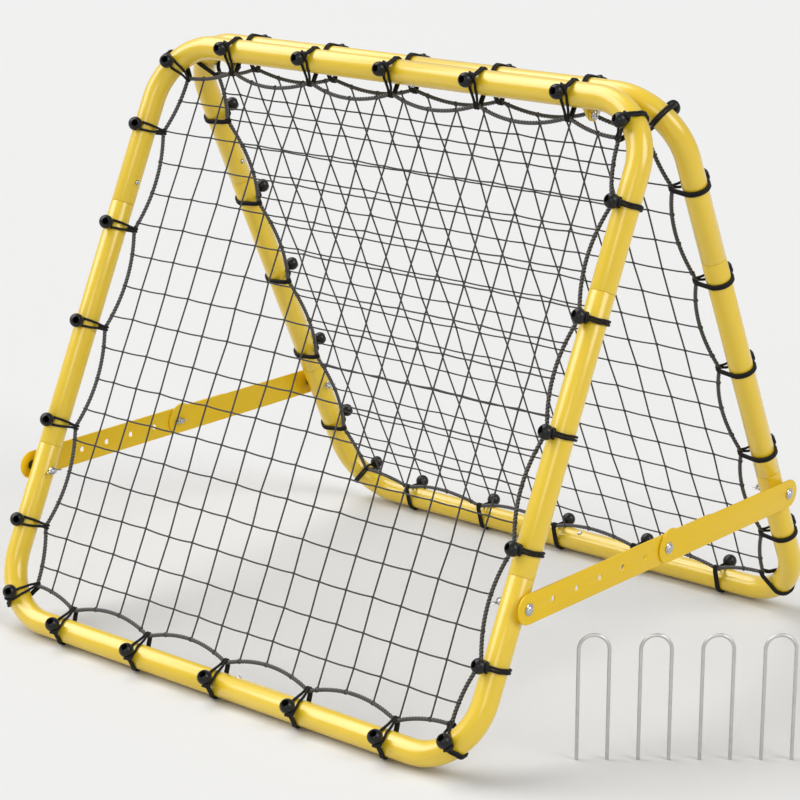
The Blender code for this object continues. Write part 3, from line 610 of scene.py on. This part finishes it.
# Folding braces
# Flat bars of 3 mm steel with round ends and rounded edges, painted a shade deeper than the tubes.
# The front bars have a row of small holes; the rear bars carry a raised stop over the middle bolt.
BRACE_UP = 0.2357
BRACE_WIDTH = 0.045
BRACE_THICKNESS = 0.003
BRACE_X = 0.5055
BRACE_HOLE_STEPS = 6
BRACE_SPARE_HOLES = 2
BRACE_EDGE = 0.0007
BRACE_END_STEPS = 28
STOP_RADIUS = 0.0285
STOP_OFFSET = 0.007
STOP_STEPS = 18
LAYER = BRACE_THICKNESS + SEAM_GAP
BRACE_YELLOW = (0.78, 0.505, 0.008, 1.0)
BRACE_LIGHT = (0.82, 0.540, 0.012, 1.0)

brace_paint = Finish(
    "deep_yellow_powder_coat", coat_weight=0.15, coat_roughness=0.16, specular_ior_level=0.25,
)
brace_paint.tint(BRACE_YELLOW, BRACE_LIGHT, 9.0)
brace_paint.roughen(0.30, 0.18, 26.0, 4.0)
brace_paint.relief(brace_paint.noise(380.0, 1.0) * 0.8 + brace_paint.noise(40.0) * 0.5, 0.00007)

brace_pivot_out = spot(1, 0.0, 0.0, BRACE_UP)
BRACE_LENGTH = brace_pivot_out.y
brace_seats = {}
for face_name, face in FACES.items():
    for side_name, side in SIDES.items():
        name = f"{face_name}_{side_name}"
        half = BRACE_WIDTH / 2
        outline = arc((0, 0), half, 90, 270, BRACE_END_STEPS)
        if face < 0:
            length = BRACE_LENGTH * (1 + BRACE_SPARE_HOLES / BRACE_HOLE_STEPS)
            outline += arc((length, 0), half, -90, 90, BRACE_END_STEPS)
            steps = range(BRACE_HOLE_STEPS + BRACE_SPARE_HOLES + 1)
        else:
            meet = (STOP_OFFSET ** 2 + STOP_RADIUS ** 2 - half ** 2) / (2 * STOP_OFFSET)
            rise = math.sqrt(STOP_RADIUS ** 2 - meet ** 2)
            bar_end = math.degrees(math.atan2(rise, meet - STOP_OFFSET))
            outline += arc((BRACE_LENGTH, 0), half, -90, bar_end, STOP_STEPS)
            start = math.degrees(math.atan2(rise, meet))
            end = 180 - math.degrees(math.asin(half / STOP_RADIUS))
            outline += arc((BRACE_LENGTH - STOP_OFFSET, 0), STOP_RADIUS, start, end, STOP_STEPS)[1:]
            steps = (0, BRACE_HOLE_STEPS)
        loops = [outline] + [bolt_hole(BRACE_LENGTH * k / BRACE_HOLE_STEPS, 0) for k in steps]
        low = BRACE_X + (LAYER if face * side > 0 else 0.0)
        pivot = Vector((hinge_place.x + side * low, face * BRACE_LENGTH, brace_pivot_out.z))
        at = pivot + Vector((side * BRACE_THICKNESS / 2, 0, 0))
        cut_plate(
            f"{name}_brace_bar", loops, BRACE_THICKNESS, BRACE_EDGE, at, Vector((0, -face, 0)),
            Vector((0, 0, 1)), f"{name}_bar", brace_paint, [f"{name}_brace"],
        )
        brace_seats[face, side] = (pivot, low + BRACE_THICKNESS + SEAM_GAP)

# Brace bolts, wing nuts and spacers
# Each bar turns on a zinc bolt through its tube, on a black spacer, and a wing nut inside clamps it.
# A shorter bolt with its own wing nut joins the two bars of a side in the middle.
NUT_RADIUS = 0.0065
NUT_WAIST_RADIUS = 0.00611
NUT_TOP_RADIUS = 0.0052
NUT_HEIGHT = 0.007
NUT_WAIST_AT = 0.00315
NUT_CORNER = 0.0006
NUT_SIDES = 32
STUB_SIDES = 24
WING_ROOT = 0.00455
WING_REACH = 0.012
WING_LOW = 0.0030
WING_HIGH = 0.00984
WING_HALF_HEIGHT = 0.0030
WING_BULGE = 0.0012
WING_THICKNESS = 0.0026
WING_THINNING = 0.25
WING_LEAN = 1.15
WING_TIP_HEIGHT_SHARE = 0.55
WING_TIP_THICKNESS_SHARE = 0.6
WING_STEPS = 12
WING_SIDES = 12
SPACER_RADIUS = 0.008
SPACER_CORNER = 0.0004
SPACER_SIDES = 40
PLASTIC_BLACK = (0.006, 0.006, 0.007, 1.0)
PLASTIC_WORN = (0.011, 0.011, 0.012, 1.0)

black = Finish("black_moulded_plastic", specular_ior_level=0.28)
black.tint(PLASTIC_BLACK, PLASTIC_WORN, 60.0)
black.roughen(0.20, 0.16, 220.0, 3.0)
black.relief(black.noise(900.0), 0.00003, 0.6)


def wing_ring(seat, inward, sideways, share):
    """A ring of a wing, at a share of its length from inside the hub to its narrow tip."""
    swing = share * math.pi / 2
    lean = share * WING_LEAN
    reach = WING_ROOT + (WING_REACH - WING_ROOT) * math.sin(swing)
    rise = WING_LOW + (WING_HIGH - WING_LOW) * (1 - math.cos(swing))
    tall = WING_HALF_HEIGHT + WING_BULGE * math.sin(2 * swing)
    thick = WING_THICKNESS / 2 * (1 - WING_THINNING * share)
    if share == 1:
        tall *= WING_TIP_HEIGHT_SHARE
        thick *= WING_TIP_THICKNESS_SHARE
    across = (inward * math.cos(lean) - sideways * math.sin(lean)) * tall
    return circle(seat + inward * rise + sideways * reach, across, Vector((0, 0, thick)), 1, WING_SIDES)


def make_wing_nut(name, seat, inward, stub, body, node):
    """A wing nut on its seat; with a stub, it also holds the end of the bolt that it is on."""
    hub = [
        (0.0, NUT_RADIUS - NUT_CORNER), (NUT_CORNER, NUT_RADIUS), (NUT_WAIST_AT, NUT_WAIST_RADIUS),
        (NUT_HEIGHT - NUT_CORNER, NUT_TOP_RADIUS), (NUT_HEIGHT, NUT_TOP_RADIUS - NUT_CORNER),
        (NUT_HEIGHT, BOLT_HOLE_RADIUS), (0.0, BOLT_HOLE_RADIUS),
    ]
    bm = bmesh.new()
    loft(bm, [round_ring(seat + inward * at, inward, radius, NUT_SIDES) for at, radius in hub], True)
    if stub > 0:
        end = NUT_HEIGHT + BOLT_END
        stations = [(-stub, BOLT_RADIUS), (NUT_HEIGHT, BOLT_RADIUS), (end - NUT_CORNER, BOLT_RADIUS)]
        add_turned(bm, stations + [(end, BOLT_RADIUS - NUT_CORNER)], seat, inward, STUB_SIDES)
    for way in (-1, 1):
        sideways = Vector((0, way, 0))
        loft(bm, [wing_ring(seat, inward, sideways, k / WING_STEPS) for k in range(WING_STEPS + 1)])
    piece(name, bm, body, [zinc], [node], sharp=50)


tube_outside = HALF_WIDTH + TUBE_RADIUS
tube_inside = HALF_WIDTH - TUBE_RADIUS - SEAM_GAP
for face_name, face in FACES.items():
    for side_name, side in SIDES.items():
        name = f"{face_name}_{side_name}"
        outward = Vector((side, 0, 0))
        pivot, head_x = brace_seats[face, side]
        centre = Vector((hinge_place.x, pivot.y, pivot.z))
        head = centre + outward * head_x
        seat = centre + outward * tube_inside
        length = head_x - tube_inside + NUT_HEIGHT + BOLT_END
        make_bolt(f"{name}_brace_bolt", head, outward, length, face_name + "_frame", f"{name}_pivot_bolt")
        make_wing_nut(f"{name}_brace_wing", seat, -outward, 0.0, f"{name}_wing", f"{name}_wing_nut")
        near = tube_outside + SEAM_GAP
        far = head_x - BRACE_THICKNESS - 2 * SEAM_GAP
        edge = SPACER_RADIUS - SPACER_CORNER
        stations = [
            (near, BOLT_HOLE_RADIUS), (near, edge), (near + SPACER_CORNER, SPACER_RADIUS),
            (far - SPACER_CORNER, SPACER_RADIUS), (far, edge), (far, BOLT_HOLE_RADIUS),
        ]
        rings = [round_ring(centre + outward * at, outward, radius, SPACER_SIDES) for at, radius in stations]
        bm = bmesh.new()
        loft(bm, rings, True)
        piece(f"{name}_brace_spacer", bm, face_name + "_frame", [black], [f"{name}_spacer"])

for side_name, side in SIDES.items():
    name = f"{side_name}_middle"
    outward = Vector((side, 0, 0))
    centre = Vector((hinge_place.x, 0, brace_pivot_out.z))
    head = centre + outward * (BRACE_X + 2 * LAYER)
    seat = centre + outward * (BRACE_X - SEAM_GAP)
    stub = SEAM_GAP + BRACE_THICKNESS
    outer_body = "rear_right_bar" if side > 0 else "front_left_bar"
    make_bolt(f"{side_name}_brace_joint_bolt", head, outward, stub, outer_body, f"{name}_bolt")
    make_wing_nut(f"{side_name}_brace_joint_wing", seat, -outward, stub, f"{name}_wing", f"{name}_wing_nut")

# Border ropes
# A laid charcoal rope of three strands, about 7 mm thick, runs round each net in scallops between ties,
# 10.5 mm to the inner side of the tubes' plane. The strands are wound one by one and close on themselves.
TIES_PER_SIDE = 5
TIE_PITCH = 0.1670
ROPE_FROM_TUBE = 0.0325
ROPE_OUT = -0.0105
ROPE_BOW = 0.0165
ROPE_STEPS = 96
ROPE_LAY = 0.0160
STRAND_RADIUS = 0.00160
STRAND_OFFSET = 0.00180
STRAND_SIDES = 8
# The lighter rope colour is a painted highlight along the strands' outer crests, mixed with a few random
# flecks.
ROPE_DARK = (0.008, 0.008, 0.009, 1.0)
ROPE_HIGHLIGHT_AND_FLECK = (0.100, 0.098, 0.095, 1.0)


def tie_places():
    """Where the ties sit, in order round the frame: x, up and the direction into the frame."""
    offsets = [(k - (TIES_PER_SIDE - 1) / 2) * TIE_PITCH for k in range(TIES_PER_SIDE)]
    diagonal = math.sqrt(0.5)
    corner_x = HALF_WIDTH - CORNER_RADIUS * (1 - diagonal)
    corner_up = CORNER_RADIUS * (1 - diagonal)
    places = [(x, 0.0, (0.0, 1.0)) for x in offsets]
    places += [(corner_x, corner_up, (-diagonal, diagonal))]
    places += [(HALF_WIDTH, LOOP_HEIGHT / 2 + up, (-1.0, 0.0)) for up in offsets]
    places += [(corner_x, LOOP_HEIGHT - corner_up, (-diagonal, -diagonal))]
    places += [(x, LOOP_HEIGHT, (0.0, -1.0)) for x in offsets[::-1]]
    places += [(-corner_x, LOOP_HEIGHT - corner_up, (diagonal, -diagonal))]
    places += [(-HALF_WIDTH, LOOP_HEIGHT / 2 + up, (1.0, 0.0)) for up in offsets[::-1]]
    places += [(-corner_x, corner_up, (diagonal, diagonal))]
    return places


def rope_line():
    """The rope's centre line as (x, up) points, bowed inwards between the ties."""
    held = [Vector((x + d[0] * ROPE_FROM_TUBE, up + d[1] * ROPE_FROM_TUBE)) for x, up, d in tie_places()]
    line = []
    for here, there in zip(held, held[1:] + held[:1]):
        run = there - here
        bow = ROPE_BOW * (run.length / TIE_PITCH) ** 2
        inward = Vector((-run.y, run.x)).normalized()
        for k in range(ROPE_STEPS):
            share = k / ROPE_STEPS
            line.append(here + run * share + inward * bow * 4 * share * (1 - share))
    return line


rope_fibre = Finish("charcoal_rope_fibre", roughness=0.40, specular_ior_level=0.6)
# Painted highlight: each strand turns lighter towards its outer crest while the grooves keep the dark colour,
# and a little noise adds random flecks.
crest = rope_fibre.node("Attribute", {"attribute_name": "crest"}, {}, "Fac")
crest_highlight_and_fleck = (crest - 0.80) * 4.0 + rope_fibre.noise(350.0, 4.0) * 0.3
rope_fibre.feed("Base Color", rope_fibre.blend(crest_highlight_and_fleck, ROPE_DARK, ROPE_HIGHLIGHT_AND_FLECK))
rope_fibre.relief(rope_fibre.noise(1600.0, 3.0), 0.00020)

line = rope_line()
length = sum((line[k] - line[k - 1]).length for k in range(len(line)))
turns = round(length / ROPE_LAY)
for face_name, face in FACES.items():
    bm = bmesh.new()
    for strand in range(3):
        gone = 0.0
        points = []
        for k, point in enumerate(line):
            run = line[(k + 1) % len(line)] - line[k - 1]
            inward = Vector((-run.y, run.x)).normalized()
            turn = 2 * math.pi * (turns * gone / length + strand / 3)
            at = point + inward * STRAND_OFFSET * math.cos(turn)
            points.append(spot(face, at.x, ROPE_OUT + STRAND_OFFSET * math.sin(turn), at.y))
            gone += (line[(k + 1) % len(line)] - point).length
        add_cord(bm, points, STRAND_RADIUS, STRAND_SIDES, True)
    # crest runs from 0 on a strand's side towards the rope's middle to 1 on its outer crest, where the
    # highlight is painted.
    crest_layer = bm.verts.layers.float.new("crest")
    for k, vert in enumerate(bm.verts):
        middle = line[k // STRAND_SIDES % len(line)]
        from_middle = (vert.co - spot(face, middle.x, ROPE_OUT, middle.y)).length
        vert[crest_layer] = (from_middle - STRAND_OFFSET + STRAND_RADIUS) / (2 * STRAND_RADIUS)
    node = f"{face_name}_net_border"
    piece(f"{face_name}_border_rope", bm, face_name + "_frame", [rope_fibre], [node], sharp=70)

# Ball ties
# Black bungee cord, doubled, comes out of a ball's ringed collar, runs round the outside of the tube and
# behind it to the rope, loops the rope, and comes back over the front as two strands hooked behind the ball.
CORD_RADIUS = 0.0021
CORD_SIDES = 8
CORD_STEPS = 4
CORDS_APART = 0.00225
CORD_GAP = 0.0001
TOP_SHIFTS = {"front": -0.0035, "rear": 0.0052}
WRAP_RADIUS = TUBE_RADIUS + CORD_RADIUS + CORD_GAP
WRAP_STEPS = 8
WRAP_PAST_OUTLET = 32.0
WRAP_END = 268.0
GRIPPED_ROPE_RADIUS = 0.0032
ROPE_LOOP_RADIUS = GRIPPED_ROPE_RADIUS + CORD_RADIUS
# The cord's way round the rope: into the frame, share of the tie's shift, and out from the rope's middle.
ROPE_LOOP = [
    (ROPE_FROM_TUBE * 0.62, 0.5, -ROPE_LOOP_RADIUS - 0.002155),
    (ROPE_FROM_TUBE - 0.0010, 0.3, -ROPE_LOOP_RADIUS),
    (ROPE_FROM_TUBE + ROPE_LOOP_RADIUS, 0.3, 0.0),
    (ROPE_FROM_TUBE - 0.0005, 0.3, ROPE_LOOP_RADIUS),
]
LEAVING_INTO = ROPE_FROM_TUBE - 0.006
LEAVING_OUT = ROPE_OUT + ROPE_LOOP_RADIUS + 0.0035
LEAVING_SHIFT_SHARE = 0.3
LEAVING_SPREAD = 1.5
# Where the cord comes back over the front of the tube, as shares of the way from the rope to the ball.
BACK_SHARES = (0.3, 0.5, 0.7)
BACK_SPREAD = 0.3
BALL_RADIUS = 0.0115
BALL_REST = 0.0318
BALL_HOLE_RADIUS = 0.0056
BALL_MOUTH = math.asin(BALL_HOLE_RADIUS / BALL_RADIUS)
BALL_RIM = BALL_RADIUS * math.cos(BALL_MOUTH)
BALL_SIDES = 28
# The ball's outline, as distance along its hole and radius: from the hole's end over its rim to the back.
BALL_OUTLINE = [
    (-BALL_RADIUS * 0.8, 0.0003), (0.0, BALL_HOLE_RADIUS * 0.8),
    (BALL_RIM - 0.0018, BALL_HOLE_RADIUS - 0.0008), (BALL_RIM - 0.0006, BALL_HOLE_RADIUS - 0.0005),
]
BALL_OUTLINE += arc((0, 0), BALL_RADIUS, math.degrees(BALL_MOUTH), math.degrees(math.pi - 0.05), 20)
COLLAR_RADIUS = 0.0056
COLLAR_GROOVE = 0.0045
COLLAR_END = 0.0152
COLLAR_SIDES = 24
# The collar's outline, with its two rings: distance from the ball's centre and radius.
COLLAR_OUTLINE = [
    (0.0080, 0.0006), (0.0080, COLLAR_GROOVE), (0.0118, COLLAR_GROOVE), (0.0121, COLLAR_RADIUS),
    (0.0130, COLLAR_RADIUS), (0.0133, COLLAR_GROOVE), (0.0138, COLLAR_GROOVE), (0.0141, COLLAR_RADIUS * 0.95),
    (0.0149, COLLAR_RADIUS * 0.95), (COLLAR_END, COLLAR_GROOVE), (COLLAR_END, 0.0006),
]
NECK_AT = 0.0112
CORD_LEAD = 0.001
HOOK_RADIUS = COLLAR_GROOVE + CORD_RADIUS
HOOK_DIAGONAL = 0.72
BUNGEE_BLACK = (0.006, 0.006, 0.006, 1.0)
BUNGEE_WORN = (0.018, 0.017, 0.017, 1.0)
# How a ball lies at each kind of place: its centre as x and up, then the way of its hole and the way of its
# collar as x, up and out.
LIES = {
    "left": ((0.0075, -0.0017), (0.60, -0.03, 0.80), (-0.85, 0.00, -0.52)),
    "right": ((-0.0055, -0.0045), (-0.35, 0.05, 0.93), (0.84, 0.06, -0.54)),
    "top": ((-0.0030, -0.0075), (-0.02, -0.21, 0.97), (0.62, 0.70, -0.33)),
    "rear top": ((0.0010, -0.0095), (0.02, -0.21, 0.97), (-0.20, 0.93, -0.28)),
    "bottom": ((0.0040, 0.0050), (0.15, 0.43, 0.89), (0.38, -0.80, -0.42)),
    "rear left": ((0.0105, 0.0040), (0.60, -0.03, 0.80), (-0.85, 0.00, -0.52)),
    "rear right": ((-0.0087, -0.0019), (-0.35, 0.05, 0.93), (0.84, 0.06, -0.54)),
    "rear bottom": ((-0.0010, 0.0165), (-0.15, 0.43, 0.89), (-0.38, -0.80, -0.42)),
    "top left": ((0.0047, -0.0094), (0.38, 0.04, 0.92), (-0.60, 0.60, -0.52)),
    "top right": ((-0.0010, -0.0072), (-0.45, -0.05, 0.89), (0.57, 0.72, -0.39)),
    "bottom left": ((0.0092, 0.0026), (0.47, 0.02, 0.88), (-0.15, -0.85, -0.45)),
    "bottom right": ((0.0030, 0.0012), (-0.15, 0.34, 0.93), (0.54, -0.68, -0.48)),
}
FOOT_TIES = {0: "left", 2: "middle", 4: "right"}

bungee = Finish("black_bungee_braid", specular_ior_level=0.14)
bungee.tint(BUNGEE_BLACK, BUNGEE_WORN, 700.0, 3.0)
bungee.roughen(0.45, 0.2, 500.0)
bungee.relief(bungee.node("TexVoronoi", {}, {"Vector": bungee.where, "Scale": 1100.0}), 0.00015)


def smooth_through(points, steps):
    """A smooth curve through points, with so many steps from each to the next."""
    ends = [points[0] * 2 - points[1]] + points + [points[-1] * 2 - points[-2]]
    curve = []
    for a, b, c, d in zip(ends, ends[1:], ends[2:], ends[3:]):
        for k in range(steps):
            t = k / steps
            bend = (a * 2 - b * 5 + c * 4 - d) * t ** 2 + (b * 3 - a - c * 3 + d) * t ** 3
            curve.append((b * 2 + (c - a) * t + bend) / 2)
    return curve + [points[-1]]


def lie_of(face, place):
    """Which of the ball's lies a tie has, from the side or corner where it sits."""
    x, up, inward = place
    across = {-1: "right", 0: "", 1: "left"}[round(inward[0])]
    upward = {-1: "top", 0: "", 1: "bottom"}[round(inward[1])]
    lie = f"{upward} {across}".strip()
    return "rear " + lie if face > 0 and "rear " + lie in LIES else lie


def make_tie(name, face, body, place, shift, nodes):
    """One tie. In its own axes a point is (into the frame, along the tube, out), from the tube's centre."""
    x, up, inward = place
    ball_place, bore_way, collar_way = LIES[lie_of(face, place)]

    def own(way):
        into = way[0] * inward[0] + way[1] * inward[1]
        along = way[1] * inward[0] - way[0] * inward[1]
        return Vector((into, along, way[2]))

    def world_spot(point):
        into, along, out = point
        x_there = x + inward[0] * into - inward[1] * along
        return spot(face, x_there, out, up + inward[1] * into + inward[0] * along)

    bore_way = own(bore_way).normalized()
    collar_way = own(collar_way).normalized()
    ball = own((*ball_place, 0.0))
    ball.z = math.sqrt(BALL_REST ** 2 - ball.x ** 2)
    neck = ball + collar_way * NECK_AT
    outlet = ball + collar_way * (COLLAR_END + CORD_LEAD)
    wrap_start = math.degrees(math.atan2(outlet.z, outlet.x)) + WRAP_PAST_OUTLET
    hook = (neck - Vector((ROPE_FROM_TUBE, shift, ROPE_OUT))).normalized()
    hook = (hook - collar_way * hook.dot(collar_way)).normalized()
    beside = collar_way.cross(hook)
    halves = []
    for way_along in (-1, 1):
        apart = Vector((0, way_along * CORDS_APART, 0))
        points = [neck + collar_way * CORD_LEAD + apart, outlet + apart]
        for k in range(WRAP_STEPS):
            share = k / (WRAP_STEPS - 1)
            turn = math.radians(wrap_start + (WRAP_END - wrap_start) * share)
            along = outlet.y + (shift - outlet.y) * share * (2 - share)
            points.append(Vector((WRAP_RADIUS * math.cos(turn), along, WRAP_RADIUS * math.sin(turn))) + apart)
        for into, share, out in ROPE_LOOP:
            points.append(Vector((into, shift * share, ROPE_OUT + out)) + apart)
        leaving = Vector((LEAVING_INTO, shift * LEAVING_SHIFT_SHARE, LEAVING_OUT)) + apart * LEAVING_SPREAD
        side_spot = neck + beside * HOOK_RADIUS * (1 if beside.y * way_along > 0 else -1)
        points.append(leaving)
        for share in BACK_SHARES:
            past = leaving.lerp(side_spot, share) + apart * BACK_SPREAD
            clear = max(1.0, WRAP_RADIUS / math.hypot(past.x, past.z))
            points.append(Vector((past.x * clear, past.y, past.z * clear)))
        points += [side_spot, neck + (hook + (side_spot - neck).normalized()) * HOOK_RADIUS * HOOK_DIAGONAL]
        halves.append(points)
    path = smooth_through(halves[0] + [neck + hook * HOOK_RADIUS] + halves[1][::-1], CORD_STEPS)
    bm = bmesh.new()
    add_cord(bm, [world_spot(point) for point in path], CORD_RADIUS, CORD_SIDES)
    for vert in bm.verts:
        vert.co.z = max(vert.co.z, 0.0)

    centre = world_spot(ball)
    add_turned(bm, BALL_OUTLINE, centre, world_spot(ball + bore_way) - centre, BALL_SIDES, 1)
    add_turned(bm, COLLAR_OUTLINE, centre, world_spot(ball + collar_way) - centre, COLLAR_SIDES, 1)
    piece(name, bm, body, [bungee, black], nodes, sharp=45)


for face_name, face in FACES.items():
    for k, place in enumerate(tie_places()):
        shift = TOP_SHIFTS[face_name] if place[2][1] == -1.0 else 0.0
        node = f"{face_name}_{FOOT_TIES[k]}_foot_tie" if k in FOOT_TIES else f"{face_name}_net_border"
        make_tie(f"{face_name}_tie_{k + 1}", face, face_name + "_frame", place, shift, [node])

# Nets
# Charcoal twine of 2.7 mm in a square mesh of 52 mm, knotted at each crossing. It hangs almost flat,
# and each line ends in a small loop round the border rope.
NET_LINES = 16
NET_WIDTH = 0.785
NET_SHIFT = -0.0015
NET_LOW = 0.0842
NET_HIGH = 0.8700
NET_STEPS = 4
NET_SEED = 11
NET_LOOSE = 0.0011
NET_LOOSE_OUT_SHARE = 1.3
NET_SAG = 0.0009
TWINE_RADIUS = 0.00135
TWINE_SIDES = 6
TWINE_OVER = TWINE_RADIUS * 0.55
TIP_LOOP_RADIUS = 0.0034
TIP_LOOP_STEPS = 12
TIP_TWINE_RADIUS = TWINE_RADIUS * 0.7
TIP_TWINE_SIDES = 5
KNOT_RADIUS = 0.0023
KNOT_LUMP_SHARE = 0.16
KNOT_LUMP_RATE = 2600
TWINE_DARK = (0.034, 0.034, 0.034, 1.0)
TWINE_PALE = (0.090, 0.088, 0.085, 1.0)

twine = Finish("charcoal_net_twine", roughness=0.80, specular_ior_level=0.3)
twine.tint(TWINE_DARK, TWINE_PALE, 260.0, 3.0)
twine.relief(twine.noise(1400.0, 3.0), 0.00015)


def rope_edge(line, axis, level, sign):
    """Where a net line at a level meets the rope on one side, and how the rope runs there."""
    best = None
    middle = LOOP_HEIGHT / 2 if axis == 0 else 0.0
    for here, there in zip(line, line[1:] + line[:1]):
        low, high = sorted((here[axis], there[axis]))
        if low <= level <= high and high > low:
            share = (level - here[axis]) / (there[axis] - here[axis])
            met = here[1 - axis] + share * (there[1 - axis] - here[1 - axis])
            if (met - middle) * sign > 0 and (best is None or abs(met - middle) < abs(best[0] - middle)):
                best = (met, (there - here).normalized())
    return best


for face_name, face in FACES.items():
    chance = random.Random(NET_SEED + face)
    columns = [NET_SHIFT + NET_WIDTH * (k / (NET_LINES - 1) - 0.5) for k in range(NET_LINES)]
    rows = [NET_LOW + (NET_HIGH - NET_LOW) * k / (NET_LINES - 1) for k in range(NET_LINES)]
    crossing = {}
    for i, x in enumerate(columns):
        for j, up in enumerate(rows):
            loose = [chance.uniform(-NET_LOOSE, NET_LOOSE) for axis in range(3)]
            crossing[i, j] = (x + loose[0], ROPE_OUT + loose[2] * NET_LOOSE_OUT_SHARE, up + loose[1])
    bm = bmesh.new()
    knots = bmesh.new()
    for k in range(NET_LINES):
        for axis in (0, 1):
            if axis == 1:
                level = rows[k]
                row = [crossing[m, k] for m in range(NET_LINES)]
                sag = Vector((0.0, 0.0, -NET_SAG))
                over = TWINE_OVER
            else:
                level = columns[k]
                row = [crossing[k, m] for m in range(NET_LINES)]
                sag = Vector((0.0, 0.0, 0.0))
                over = -TWINE_OVER
            ends = [rope_edge(line, axis, level, sign) for sign in (-1, 1)]
            tips = [(met, ROPE_OUT, level) if axis == 1 else (level, ROPE_OUT, met) for met, run in ends]
            route = [Vector(point) for point in [tips[0]] + row + [tips[1]]]
            points = []
            for here, there in zip(route, route[1:]):
                for m in range(NET_STEPS):
                    share = m / NET_STEPS
                    points.append(here.lerp(there, share) + sag * math.sin(math.pi * share))
            points.append(route[-1])
            add_cord(bm, [spot(face, p.x, p.y + over, p.z) for p in points], TWINE_RADIUS, TWINE_SIDES)
            for tip, (met, run) in zip(tips, ends):
                centre = spot(face, *tip)
                along = spot(face, tip[0] + run.x, tip[1], tip[2] + run.y) - centre
                loop = round_ring(centre, along, TIP_LOOP_RADIUS, TIP_LOOP_STEPS)
                add_cord(bm, loop, TIP_TWINE_RADIUS, TIP_TWINE_SIDES, True)
    for (i, j), place in crossing.items():
        centre = spot(face, *place)
        for vert in bmesh.ops.create_icosphere(knots, subdivisions=2, radius=KNOT_RADIUS)["verts"]:
            lump = math.sin(vert.co.x * KNOT_LUMP_RATE + i) * math.sin(vert.co.z * KNOT_LUMP_RATE + j)
            vert.co = centre + vert.co * (1 + KNOT_LUMP_SHARE * lump)
    nodes = [f"{face_name}_net"]
    piece(f"{face_name}_net_twine", bm, face_name + "_frame", [twine], nodes, sharp=70)
    piece(f"{face_name}_net_knots", knots, face_name + "_frame", [twine], nodes, sharp=80)

# Ground stakes
# Four galvanised staples of 5.4 mm wire, bent to a U with a round top and cut square at the feet.
# They stand in a row beside the right-hand braces.
STAKE_COUNT = 4
STAKE_HEIGHT = 0.190
STAKE_GAUGE = 0.043
STAKE_WIRE_RADIUS = 0.0027
STAKE_SIDES = 20
STAKE_BEND_STEPS = 20
STAKE_LEG_SHARES = (0.0, 0.004, 0.3, 0.6, 0.9)
STAKE_ROW_TURN = math.radians(40.2)
WIRE_DARK = (0.48, 0.48, 0.48, 1.0)
WIRE_LIGHT = (0.64, 0.64, 0.63, 1.0)

galvanised = Finish("galvanised_wire", metallic=0.85)
galvanised.tint(WIRE_DARK, WIRE_LIGHT, 120.0, 3.0)
galvanised.roughen(0.26, 0.20, 240.0, 3.0)
galvanised.relief(galvanised.noise(500.0, 3.0), 0.00006)

across = Vector((math.cos(STAKE_ROW_TURN), math.sin(STAKE_ROW_TURN), 0))
half = STAKE_GAUGE / 2
shoulder = STAKE_HEIGHT - STAKE_WIRE_RADIUS - half
legs = [shoulder * share for share in STAKE_LEG_SHARES]
outline = [(-half, up) for up in legs]
outline += arc((0, shoulder), half, 180, 0, STAKE_BEND_STEPS)
outline += [(half, up) for up in legs[::-1]]
for k in range(STAKE_COUNT):
    node = f"stake_{k + 1}"
    low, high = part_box(node)
    centre = Vector(((low.x + high.x) / 2, (low.y + high.y) / 2, 0))
    points = [centre + across * x + Vector((0, 0, up)) for x, up in outline]
    bm = bmesh.new()
    add_cord(bm, points, STAKE_WIRE_RADIUS, STAKE_SIDES)
    piece(f"wire_stake_{k + 1}", bm, f"ground_{node}", [galvanised], [node])
